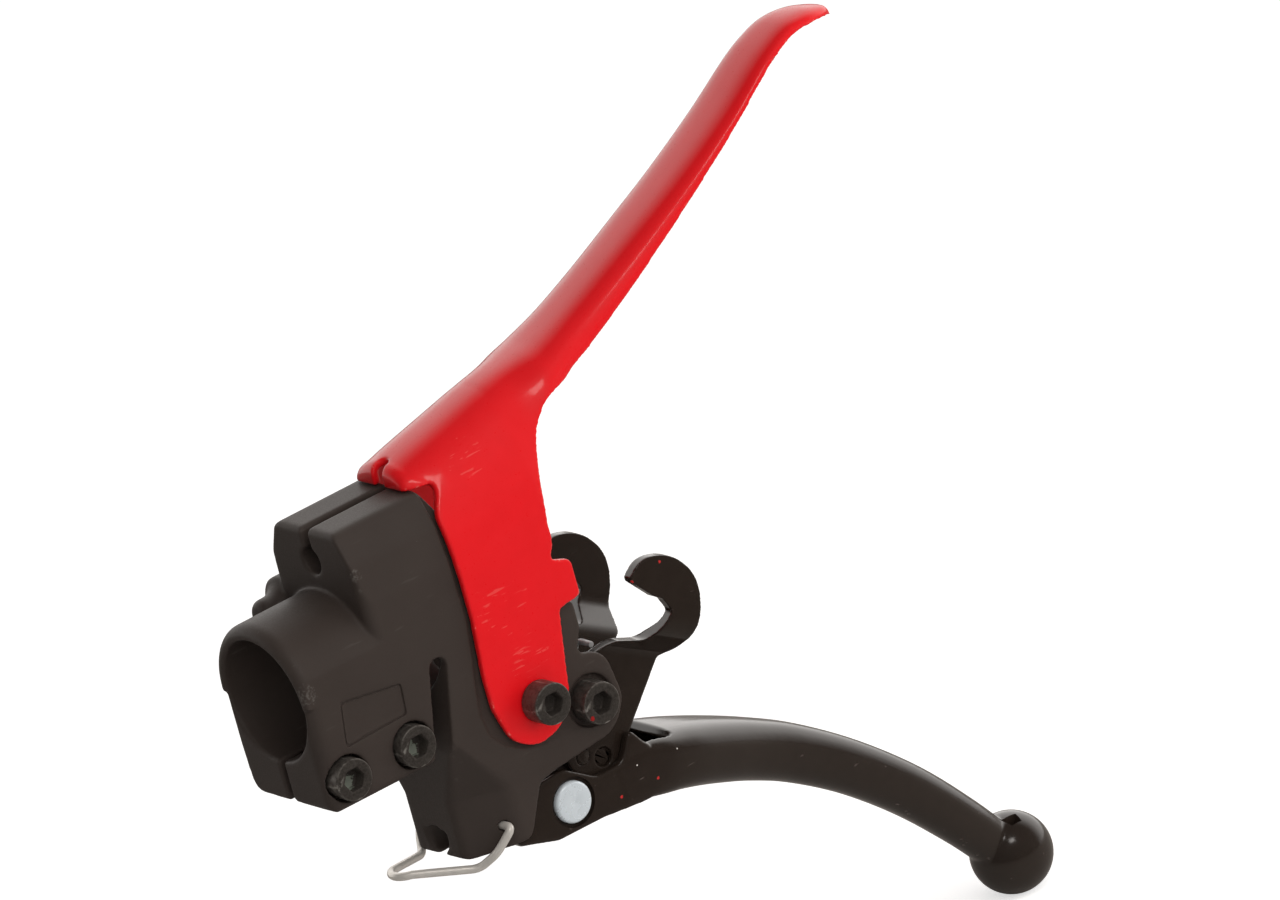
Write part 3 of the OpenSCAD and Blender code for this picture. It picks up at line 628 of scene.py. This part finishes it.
def add_cheeks(points, faces, across):
    """Flat cheeks, carried on down from the rims of the flanks."""
    for side, edge in ((-1, 0), (1, ACROSS - 1)):
        top = [i * ACROSS + edge for i in range(CHEEK_ROW * LEVER_STEPS + 1)]
        first = len(points)
        points += [(x, side * across, z) for x, z in CHEEK[1:]]
        faces.append(tuple(top + list(range(first, len(points)))))


def lever_layer(inset):
    """Points of one side of the sheet, and its faces, in the same order whatever the inset."""
    points, faces = [], []
    rows = (len(LEVER_ROWS) - 1) * LEVER_STEPS + 1
    for i in range(rows):
        depth = CORNER_DEPTH * max(0, 1 - i / LEVER_STEPS)
        for x, y, z in lever_arch(run(LEVER_ROWS, i / LEVER_STEPS), inset):
            points.append((x + depth * corner_opening(y, inset), y, z))
    for i in range(rows - 1):
        for k in range(ACROSS - 1):
            a = i * ACROSS + k
            faces.append((a, a + ACROSS, a + ACROSS + 1, a + 1))
    add_lip(points, faces, LIP_R - inset)
    add_cheeks(points, faces, SHEET_Y - inset)
    return points, faces


def safety_lever():
    """Red lever: one sheet that runs from the wide channel with cheeks into the narrow handle."""
    lever = pressed_sheet("pressed_safety_lever", lever_layer, SHEET_T)
    notch = [(NOTCH_MOUTH, -NOTCH_R), (NOTCH_X, -NOTCH_R)]
    notch += arc((NOTCH_X, 0), NOTCH_R, -90, 90, 12)[1:-1]
    notch += [(NOTCH_X, NOTCH_R), (NOTCH_MOUTH, NOTCH_R)]
    combine(lever, prism("notch", notch, 30, 45, "z"), "DIFFERENCE")
    bore(lever, SAFETY_PIVOT, SLEEVE_HOLE_R, -25, 25)
    cast(lever, grain=0.4, passes=7, most=195000)
    finished(lever, "safety_lever", RED, "red_paint", "safety_lever")


# Moulded housing

LABEL = [(-5.8, -1.6, 0.8), (11.2, -4.2, 0.8), (10.6, -11.8, 0.8), (-7.4, -12.4, 0.8)]
# The field inside the label's line: share of its length and height, and how far its middle moves
FIELD_SHARE = (0.95, 0.9)
FIELD_SHIFT = (0.1, -0.75)
LINE_DEPTH = 0.4


def housing():
    """Moulding with a fine line round the bare label field on the clamp's side."""
    moulding = cast(solid_copy("housing", "moulded_housing"), grain=0.4, passes=9, most=180000)
    field = [
        (x * FIELD_SHARE[0] + FIELD_SHIFT[0], z * FIELD_SHARE[1] + FIELD_SHIFT[1], radius)
        for x, z, radius in LABEL]
    line = prism("label_line", rounded(LABEL), -PANEL_Y - 1, -PANEL_Y + LINE_DEPTH)
    combine(line, prism("label_field", rounded(field), -PANEL_Y - 2, -PANEL_Y + 2), "DIFFERENCE")
    combine(moulding, line, "DIFFERENCE")
    finished(moulding, "housing", PLASTIC, "housing_plastic", "housing")


# Hook plates, cut from sheet that is set over between two soft bends

HOOK = rounded([
    (76.1, -6.9, 1), (80.4, -3.2, 6), (88.6, -5.2, 12), (94.5, -13.5, 11), (92.5, -22.6, 14),
    (86.6, -30, 4), (82.9, -30.4, 1), (66, -48.4, 4), (60.3, -51.4, 4.4), (52.6, -46.6, 4),
    (50.2, -33, 8), (57.5, -20.6, 8), (66.8, -22.4, 6), (72.4, -21.4, 3), (78.8, -23.8, 2.4),
    (85.2, -18.6, 1.2), (83.6, -14.8, 0.6), (81.4, -13.2, 0.3)], 12)
HOOK_LEAN = math.radians(30)
# The sheet's section before it leans: distance from the middle, and height
BENT = rounded([
    (8.2, -90), (8.2, 17.5, 6), (16.5, 23.9, 4), (16.5, 60), (19.5, 60), (19.5, 22.1, 7), (11.2, 15.7, 3),
    (11.2, -90)])
# Centre and radius of the sleeve's, the stop pin's and the rivet's holes
HOOK_HOLES = [(HOOK_PIVOT, 4.55), ((61.7, -46.5), 2.3), ((56.4, -44.2), 1.85)]


def hook_plate(side, node):
    """Hook plate of one side, -1 for the viewer's."""
    sheet = prism("sheet", [(side * y, z) for y, z in BENT], -100, 150, "x")
    sheet.data.transform(Matrix.Rotation(HOOK_LEAN, 4, "Y"))
    plate = combine(prism("hook_plate", HOOK, min(0, 30 * side), max(0, 30 * side)), sheet, "INTERSECT")
    for centre, radius in HOOK_HOLES:
        bore(plate, centre, radius, -30, 30)
    cast(plate, grain=0.25, passes=5, most=120000)
    finished(plate, "hook_bracket", BLACK, "black_paint", node)


# Clutch lever

FORK = rounded([
    (31.7, -50, 2), (31.7, -55.6, 2), (42.6, -58.9, 6), (56, -59, 10), (66, -60, 6), (72, -60.2, 3),
    (72.8, -52), (72.8, -47.7, 1), (71.4, -46.2, 1.5), (68.6, -42, 1.2), (64.6, -48.9, 4), (57, -49, 4),
    (48.6, -43.4, 4), (39, -44, 4)])
# The fork's slot from the side, and from above
FORK_SLOT = rounded([(30, -40), (30, -70), (66, -70), (75.4, -57.8, 5), (86, -43), (86, -40)])
SLOT_PLAN = rounded([(29, -FORK_INNER), (84.5, -FORK_INNER, 7), (84.5, FORK_INNER, 7), (29, FORK_INNER)])
# Hollow that runs on from the slot under the handle's top, and its half width
CAVE = [(62, -68), (66, -68), (76, -60.5), (90, -61), (89, -54), (82.5, -51), (72, -50.6), (62, -50.6)]
CAVE_Y = FORK_INNER - 2.5
LEVER_NOSE = rounded([(32.4, -54.4, 0.6), (32.9, -56.4, 0.6), (39.4, -58.1, 1), (39.8, -54.4, 1)])
# Handle's middle line x and z, half depth and half width of its section, squareness of the section
HANDLE_ROWS = [
    (63, -54.2, 5.4, 14, 14), (71, -54.1, 6.7, 14, 9), (79, -55.9, 7.4, 13.8, 4.4),
    (87, -58.3, 7.6, 12.8, 3.2), (96, -61.7, 7.5, 11, 2.8), (106, -66.1, 7.2, 9, 2.6),
    (117, -72, 6.9, 7.6, 2.5), (131, -81.8, 6.5, 6.7, 2.5), (145, -94.3, 6.2, 6.2, 2.5),
    (157, -107.8, 5.8, 5.8, 2.4), (164, -117, 5.5, 5.5, 2.3)]
HANDLE_STEPS = 6
HANDLE_POINTS = 48
BALL = (167.9, -120.4)
BALL_R = 9.9
BALL_RINGS = 33
PIN_HOLE_R = 3.05
PIN_SEAT_R = 6
# Small hollow in the handle above the ball, and dimple in the ball: profile, place and direction
BALL_HOLLOW = [(163.5, -108), (171.5, -108), (168.6, -114.6)]
DIMPLE = [(0.001, -1.2), (0.8, -0.9), (1.2, 0), (1.2, 3)]
DIMPLE_PLACE = Vector((176.6, -4, -123.5))
DIMPLE_AXIS = Vector((1, -0.45, -0.35))


def handle_ring(t):
    """Section of the handle at row number t, square to its middle line."""
    x, z, deep, wide, squareness = run(HANDLE_ROWS, t)
    after, before = run(HANDLE_ROWS, t + 0.05), run(HANDLE_ROWS, t - 0.05)
    forward = unit((after[0] - before[0], after[1] - before[1]))
    ring = []
    for k in range(HANDLE_POINTS):
        a = 2 * math.pi * k / HANDLE_POINTS
        u = math.copysign(abs(math.cos(a)) ** (2 / squareness), math.cos(a))
        w = math.copysign(abs(math.sin(a)) ** (2 / squareness), math.sin(a))
        ring.append((x - forward[1] * deep * w, -wide * u, z + forward[0] * deep * w))
    return ring


def lever_handle():
    """Curved handle, hollowed for the slot of the fork."""
    steps = (len(HANDLE_ROWS) - 1) * HANDLE_STEPS + 1
    handle = loft("handle", [handle_ring(i / HANDLE_STEPS) for i in range(steps)])
    slot = prism("slot", FORK_SLOT, -FORK_INNER, FORK_INNER)
    combine(slot, prism("slot_plan", SLOT_PLAN, -71, -39, "z"), "INTERSECT")
    combine(handle, slot, "DIFFERENCE")
    return combine(handle, prism("cave", CAVE, -CAVE_Y, CAVE_Y), "DIFFERENCE")


def clutch_lever():
    """Cast lever: handle, ball, two cheeks of the fork and the nose that joins them."""
    angles = [math.pi * (i + 0.5) / BALL_RINGS for i in range(BALL_RINGS)]
    ball = lathe("ball", [(BALL_R * math.sin(a), BALL_R * math.cos(a)) for a in angles], BALL)
    lever = joined(
        "forged_clutch_lever", lever_handle(), ball, prism("near_cheek", FORK, -FORK_OUTER, -FORK_INNER),
        prism("far_cheek", FORK, FORK_INNER, FORK_OUTER),
        prism("nose", LEVER_NOSE, -FORK_INNER - 1, FORK_INNER + 1))
    cast(lever, grain=0.4, passes=6, most=150000)
    bore(lever, CLUTCH_PIVOT, PIN_HOLE_R, -20, 20)
    bore(lever, CLUTCH_PIVOT, PIN_SEAT_R, -20, -FORK_OUTER + 1)
    combine(lever, prism("hollow_at_ball", BALL_HOLLOW, -5.4, -2.6), "DIFFERENCE")
    dimple = lathe("dimple", DIMPLE, (0, 0), 32)
    dimple.data.transform(DIMPLE_AXIS.to_track_quat("Y", "Z").to_matrix().to_4x4())
    dimple.data.transform(Matrix.Translation(DIMPLE_PLACE * MM))
    combine(lever, dimple, "DIFFERENCE")
    finished(smooth_shaded(lever, 50), "clutch_lever", BLACK, "black_paint", "clutch_lever")


# Node trees for what repeats

def group_input(tree, name, kind="NodeSocketFloat"):
    """Named input of a tree."""
    return tree.interface.new_socket(name=name, in_out="INPUT", socket_type=kind)


def grown(piece, tree, **values):
    """Mesh that a tree makes from the piece, with inputs given by their names."""
    modifier = piece.modifiers.new("tree", "NODES")
    modifier.node_group = tree
    for socket in tree.interface.items_tree:
        key = socket.name.replace(" ", "_").lower()
        if socket.in_out == "INPUT" and key in values:
            modifier[socket.identifier] = values[key]
    return settle(piece)


def painted_out(tree, geometry, finish, out):
    """Ends a tree: real geometry with its material on it."""
    real = tree.nodes.new("GeometryNodeRealizeInstances")
    painted = tree.nodes.new("GeometryNodeSetMaterial")
    tree.links.new(geometry, real.inputs[0])
    tree.links.new(real.outputs[0], painted.inputs["Geometry"])
    tree.links.new(finish, painted.inputs["Material"])
    tree.links.new(painted.outputs[0], out.inputs[0])


# Radius at the corners of a hexagon that measures one across its flats
HEXAGON_R = 0.57735


def screw_tree():
    """Screws at the given points: head, socket and a shank as long as each point's shank_length."""
    tree = bpy.data.node_groups.new("socket_head_screws", "GeometryNodeTree")
    group_input(tree, "Seats", "NodeSocketGeometry")
    for name in ("Head Radius", "Head Height", "Socket Flats", "Socket Depth", "Shank Radius"):
        group_input(tree, name)
    group_input(tree, "Finish", "NodeSocketMaterial")
    tree.interface.new_socket(name="Screws", in_out="OUTPUT", socket_type="NodeSocketGeometry")
    add, link = tree.nodes.new, tree.links.new
    given, out = add("NodeGroupInput").outputs, add("NodeGroupOutput")

    def fed(socket, value):
        """Sets an input to a number, or links it."""
        if isinstance(value, float):
            socket.default_value = value
        else:
            link(value, socket)

    def scaled(value, factor):
        """Value times a number."""
        made = add("ShaderNodeMath")
        made.operation = "MULTIPLY"
        link(value, made.inputs[0])
        made.inputs[1].default_value = factor
        return made.outputs[0]

    def cylinder(sides, radius, depth, middle):
        """Cylinder about Z whose middle is at the height given."""
        made = add("GeometryNodeMeshCylinder")
        made.inputs["Vertices"].default_value = sides
        fed(made.inputs["Radius"], radius)
        fed(made.inputs["Depth"], depth)
        lift = add("ShaderNodeCombineXYZ")
        fed(lift.inputs[2], middle)
        place = add("GeometryNodeTransform")
        link(lift.outputs[0], place.inputs["Translation"])
        link(made.outputs["Mesh"], place.inputs["Geometry"])
        return place.outputs[0]

    height = given["Head Height"]
    head = cylinder(72, given["Head Radius"], height, scaled(height, -0.5))
    socket_r = scaled(given["Socket Flats"], HEXAGON_R)
    socket = cylinder(6, socket_r, scaled(given["Socket Depth"], 2), scaled(height, -1))
    hollow = add("GeometryNodeMeshBoolean")
    hollow.operation = "DIFFERENCE"
    link(head, hollow.inputs["Mesh 1"])
    link(socket, hollow.inputs["Mesh 2"])
    shank = cylinder(48, given["Shank Radius"], 1.0, 0.5)
    length = add("GeometryNodeInputNamedAttribute")
    length.data_type = "FLOAT"
    length.inputs["Name"].default_value = "shank_length"
    stretch = add("ShaderNodeCombineXYZ")
    stretch.inputs[0].default_value = stretch.inputs[1].default_value = 1
    link(length.outputs["Attribute"], stretch.inputs[2])
    both = add("GeometryNodeJoinGeometry")
    for geometry, scale in ((hollow.outputs["Mesh"], None), (shank, stretch.outputs[0])):
        copies = add("GeometryNodeInstanceOnPoints")
        link(given["Seats"], copies.inputs["Points"])
        link(geometry, copies.inputs["Instance"])
        copies.inputs["Rotation"].default_value = (-math.pi / 2, 0, 0)
        if scale is not None:
            link(scale, copies.inputs["Scale"])
        link(copies.outputs[0], both.inputs[0])
    painted_out(tree, both.outputs[0], given["Finish"], out)
    return tree


def wire_tree():
    """Round wire along the piece's edges."""
    tree = bpy.data.node_groups.new("round_wire", "GeometryNodeTree")
    group_input(tree, "Path", "NodeSocketGeometry")
    group_input(tree, "Wire Radius")
    group_input(tree, "Sides", "NodeSocketInt")
    group_input(tree, "Finish", "NodeSocketMaterial")
    tree.interface.new_socket(name="Wire", in_out="OUTPUT", socket_type="NodeSocketGeometry")
    add, link = tree.nodes.new, tree.links.new
    given, out = add("NodeGroupInput").outputs, add("NodeGroupOutput")
    curve = add("GeometryNodeMeshToCurve")
    circle = add("GeometryNodeCurvePrimitiveCircle")
    sweep = add("GeometryNodeCurveToMesh")
    sweep.inputs["Fill Caps"].default_value = True
    link(given["Path"], curve.inputs["Mesh"])
    link(given["Wire Radius"], circle.inputs["Radius"])
    link(given["Sides"], circle.inputs["Resolution"])
    link(curve.outputs[0], sweep.inputs["Curve"])
    link(circle.outputs[0], sweep.inputs["Profile Curve"])
    painted_out(tree, sweep.outputs[0], given["Finish"], out)
    return tree


WIRE = wire_tree()


# Socket head screws

HEAD_D = 10.0
HEAD_H = 6.0
SOCKET_FLATS = 5.0
SOCKET_DEPTH = 3.4
SHANK_R = 3.0
# Seat of each head's underside, and the shank's length
SCREWS = [
    ((-8.8, -PANEL_Y + 3.9, -19.4), 28), ((10, -PANEL_Y + 3.9, -19.4), 28),
    ((SAFETY_PIVOT[0], -19, SAFETY_PIVOT[1]), 55), ((HOOK_PIVOT[0], -15, HOOK_PIVOT[1]), 39.2)]


def socket_head_screws():
    """All four screws, as one piece on the housing."""
    screws = mesh_object("socket_head_screws", [seat for seat, _ in SCREWS], [])
    lengths = screws.data.attributes.new("shank_length", "FLOAT", "POINT")
    for i, (_, length) in enumerate(SCREWS):
        lengths.data[i].value = length * MM
    grown(screws, screw_tree(), head_radius=HEAD_D / 2 * MM, head_height=HEAD_H * MM,
          socket_flats=SOCKET_FLATS * MM, socket_depth=SOCKET_DEPTH * MM, shank_radius=SHANK_R * MM,
          finish=OXIDE)
    bevelled(screws, 0.4, 40, 3)
    finished(smooth_shaded(screws, 35), "housing", OXIDE, "black_screw",
             "clamp_screw_front", "clamp_screw_rear", "safety_lever_screw", "hook_screw")


# Nuts, washers, sleeves, pins: true forms with their edges broken by a width each

EDGES = {
    "clamp_nut_front": 0.2, "clamp_nut_rear": 0.2, "safety_lever_bush": 0.2, "safety_lever_washer": 0.25,
    "safety_lever_nut": 0.2, "hook_bush": 0.2, "hook_washer": 0.25, "hook_nut": 0.2, "hook_stop_pin": 0.4,
    "hook_rivet": 0.2, "lever_bush": 0.2, "lever_washers": 0.15, "lever_pin_clip": 0.15}
PAINTED = ("hook_stop_pin", "hook_rivet")


def small_hardware(node, width):
    """Nut, washer, sleeve or pin in zinc, or painted with the hook plates."""
    piece = bevelled(solid_copy(node, node + "_finished"), width, 40, 2)
    finish, slot = (BLACK, "black_paint") if node in PAINTED else (ZINC, "zinc")
    finished(smooth_shaded(piece, 30), nodes[node].get("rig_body", "housing"), finish, slot, node)


# Pivot pin, radius and y: head with a centre mark, shank, groove for the clip, chamfered end
PIN_PROFILE = [
    (0.001, -14.3), (0.35, -14.32), (0.6, -14.4), (4.25, -14.4), (4.5, -14.34), (4.75, -14.15),
    (4.95, -13.85), (5, -13.6), (5, -12.95), (4.85, -12.9), (3, -12.9), (3, 14), (2.2, 14), (2.2, 15),
    (3, 15), (3, 16), (2.5, 16.5), (0.001, 16.5)]


def pivot_pin():
    """Headed pin of the clutch lever."""
    pin = lathe("headed_pivot_pin", PIN_PROFILE, CLUTCH_PIVOT, 96)
    finished(smooth_shaded(pin, 25), "clutch_lever", ZINC, "zinc", "lever_pin")


# Springs and bail

SPRING_WIRE_R = 0.75
BAIL_WIRE_R = 1.0
BEND_R = 1.2
EASE_STEPS = 8
# A coil's points lie ten degrees apart
COIL_STEP = 10
COIL_POINTS = 36


def eased(path, radius):
    """Path in space with its corners rounded."""
    points = [Vector(path[0])]
    for before, corner, after in zip(path, path[1:], path[2:]):
        a, b, c = Vector(before), Vector(corner), Vector(after)
        reach = min(radius, (a - b).length * 0.45, (c - b).length * 0.45)
        start, end = b + (a - b).normalized() * reach, b + (c - b).normalized() * reach
        for i in range(EASE_STEPS + 1):
            t = i / EASE_STEPS
            points.append(start * (1 - t) ** 2 + b * 2 * t * (1 - t) + end * t * t)
    return points + [Vector(path[-1])]


def coil(pivot, radius, first_angle, points, start_y, pitch):
    """Points of a coil round a pivot, advancing along Y by its pitch each turn."""
    path = []
    for i in range(points):
        a = math.radians(first_angle + COIL_STEP * i)
        y = start_y + i * pitch / COIL_POINTS
        path.append((pivot[0] + radius * math.cos(a), y, pivot[1] + radius * math.sin(a)))
    return path


def wire(name, path, radius, finish, sides=20):
    """Round wire along a path, with its cut ends broken."""
    piece = mesh_object(name, [tuple(p) for p in path], [])
    shape = bmesh.new()
    shape.from_mesh(piece.data)
    shape.verts.ensure_lookup_table()
    for i in range(len(path) - 1):
        shape.edges.new((shape.verts[i], shape.verts[i + 1]))
    shape.to_mesh(piece.data)
    shape.free()
    grown(piece, WIRE, wire_radius=radius * MM, sides=sides, finish=finish)
    outward(piece)
    bevelled(piece, radius * 0.25, 60, 2)
    return smooth_shaded(piece, 40)


def torsion_spring(name, path, node):
    """Spring between the housing and the body it pushes; its wire turns between two points in metres."""
    spring = wire(name, path, SPRING_WIRE_R, SPRING_STEEL)
    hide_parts(node)
    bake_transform(spring)


def safety_lever_spring():
    """Spring on the far end of the sleeve: one leg in the wall, one behind the far cheek."""
    coil_y = 20.15
    turns = coil(SAFETY_PIVOT, 5.1, 200, 3 * COIL_POINTS + 16, coil_y + 0.3, 1.6)
    start_leg = eased(
        [(37.5, 15.4, -38), (37.5, coil_y - 1.2, -38), (37.9, coil_y, -37), turns[0]], BEND_R)
    end_leg = eased(
        [turns[-1], (56.7, coil_y + 5.2, -14), (57.2, coil_y + 4, -12), (57.2, 17.5, -12)], BEND_R)
    torsion_spring("safety_lever_coil", start_leg[:-1] + turns + end_leg[1:], "safety_lever_spring")


def hook_spring():
    """Spring between the hook plates: one leg on the tongue, one over the near plate's edge."""
    turns = coil(HOOK_PIVOT, 5.6, 270, 4 * COIL_POINTS + 13, 4.2, -1.96)
    start_leg = [Vector((45, 4.4, -35.65)), Vector((54, 4.3, -35.75))]
    end_leg = eased([turns[-1], (66, -5.6, -20.4), (67, -6.6, -20.2), (67, -10.6, -20.4)], BEND_R)
    torsion_spring("hook_coil", start_leg + turns + end_leg[1:], "hook_spring")


def wire_bail():
    """Stainless loop: an eye in the leg's seat, round the nose, and the mirror of that."""
    middle = Vector((10, 0, -53.6))
    nose_r = 4.2
    nose_angles = [math.radians(118 + 4 * i) for i in range(16)]
    nose = [middle + nose_r * Vector((math.cos(a), math.sin(a), 0)) for a in nose_angles]
    arm = eased(
        [(28.9, 13.2, -48.6), (28.9, 17.8, -48.6), (24.6, 15.6, -53.6), (21.4, 11.4, -56.8), nose[0]], 2)
    half = arm[:-1] + nose
    mirrored = [Vector((p[0], -p[1], p[2])) for p in reversed(half[:-1])]
    bail = wire("stainless_bail", half + mirrored, BAIL_WIRE_R, STAINLESS, 24)
    finished(bail, "wire_bail", STAINLESS, "bail_wire", "wire_bail")


# Floor, light and camera

RIGHT = Vector((0.775, -0.5795, -0.254)).normalized()
UP = Vector((0.400, 0.139, 0.905))
UP = (UP - RIGHT * UP.dot(RIGHT)).normalized()
BACK = RIGHT.cross(UP)
# Point that the camera looks at, from the middle of the clamp's mouth
AIM = Vector((-0.015, 0, 0)) + RIGHT * 0.0860 + UP * 0.0576 - BACK * 0.045
DISTANCE = 8.0
PIXELS_PER_METRE = 4350
PHOTO_WIDTH = 1280
SENSOR = 36
FLOOR_Z = -0.1304
FLOOR_HALF = 9000
WHITE = (1, 1, 1)


def white_floor():
    """Floor that is white to the camera and keeps the part's shadow."""
    corners = [(x, y, 0) for x, y in ((-1, -1), (1, -1), (1, 1), (-1, 1))]
    floor = mesh_object("floor", [[FLOOR_HALF * c for c in corner] for corner in corners], [(0, 1, 2, 3)])
    floor.data.transform(Matrix.Translation((0, 0, FLOOR_Z)))
    ground = bpy.data.materials.new("white_floor")
    ground.use_nodes = True
    tree = ground.node_tree
    shader = tree.nodes["Principled BSDF"]
    shader.inputs["Roughness"].default_value = 0.9
    shader.inputs["Specular IOR Level"].default_value = 0.1
    shader.inputs["Emission Color"].default_value = (*WHITE, 1)
    rays = shader_node(tree, "LightPath").outputs
    tree.links.new(times(tree, rays["Is Camera Ray"], 0.6), shader.inputs["Emission Strength"])
    # In a glossy surface the white ends a short way in front, as a table does
    place = tree.nodes.new("ShaderNodeTexCoord").outputs["Object"]
    ahead = along(tree, place, (-0.52, -0.854, 0))
    seen = blended(tree, ramp(tree, ahead, -0.12, 0.1), (0.5, 0.47, 0.44), (0.03, 0.03, 0.03))
    colour = blended(tree, rays["Is Glossy Ray"], (0.86, 0.86, 0.86), seen)
    tree.links.new(colour, shader.inputs["Base Color"])
    floor.data.materials.append(ground)


def studio():
    """World that is white to the camera and lights the part mostly from the front."""
    world = bpy.data.worlds.new("studio")
    bpy.context.scene.world = world
    world.use_nodes = True
    tree = world.node_tree
    sky = tree.nodes["Background"]
    rays = shader_node(tree, "LightPath").outputs
    colour = blended(tree, rays["Is Camera Ray"], (1, 0.97, 0.94), WHITE)
    tree.links.new(colour, sky.inputs["Color"])
    # A glossy surface sees white behind the part and dark on the viewer's side
    toward = tree.nodes.new("ShaderNodeTexCoord").outputs["Generated"]
    mirrored = ramp(tree, along(tree, toward, BACK), 0.1, -0.35, 0.08, 1.7)
    spread = ramp(tree, along(tree, toward, (0.5, -0.84, 0.2)), -0.3, 0.9, 0.15, 0.95)
    strength = tree.nodes.new("ShaderNodeMix")
    for socket, value in ((0, rays["Is Glossy Ray"]), (2, spread), (3, mirrored)):
        tree.links.new(value, strength.inputs[socket])
    tree.links.new(greater(tree, strength.outputs[0], rays["Is Camera Ray"]), sky.inputs["Strength"])


def softbox(name, spot, aim, size, energy, mirrored=True):
    """Soft lamp at a spot, aimed at a point; mirrored says whether glossy surfaces show it."""
    light = bpy.data.lights.new(name, "AREA")
    light.shape = "RECTANGLE"
    light.size, light.size_y = size
    light.energy = energy
    light.color = (1, 0.96, 0.92)
    lamp = bpy.data.objects.new(name, light)
    lamp.location = spot
    lamp.rotation_euler = (aim - spot).to_track_quat("-Z", "Y").to_euler()
    lamp.visible_glossy = mirrored
    bpy.context.scene.collection.objects.link(lamp)


def studio_lamps():
    """Key lamp over the camera, a large one at the side and a small one for the glints."""
    middle = Vector((0.06, 0, -0.02))
    over_camera = middle + RIGHT * 0.13 + UP * 0.54 + BACK * 0.84
    softbox("key", over_camera - UP * 0.3, middle, (0.9, 0.6), 2.5, mirrored=False)
    softbox("side", middle + Vector((0.8, -0.58, 0.1)), middle, (0.7, 0.7), 4.3, mirrored=False)
    softbox("glint", over_camera, middle, (0.28, 0.2), 0.9)


def camera():
    """Camera far off with a long lens, so that the view has almost no perspective."""
    lens = bpy.data.cameras.new("camera")
    lens.sensor_width = SENSOR
    lens.lens = PIXELS_PER_METRE * DISTANCE * SENSOR / PHOTO_WIDTH
    lens.clip_start = 1
    lens.clip_end = 100
    viewer = bpy.data.objects.new("camera", lens)
    bpy.context.scene.collection.objects.link(viewer)
    turned = Matrix((RIGHT, UP, BACK)).transposed().to_4x4()
    viewer.matrix_world = Matrix.Translation(AIM + BACK * DISTANCE) @ turned
    bpy.context.scene.camera = viewer
    bpy.context.scene.view_settings.view_transform = "Standard"


safety_lever()
housing()
hook_plate(-1, "hook_near")
hook_plate(1, "hook_far")
clutch_lever()
socket_head_screws()
for name, width in EDGES.items():
    small_hardware(name, width)
pivot_pin()
safety_lever_spring()
hook_spring()
wire_bail()
white_floor()
studio()
studio_lamps()
camera()
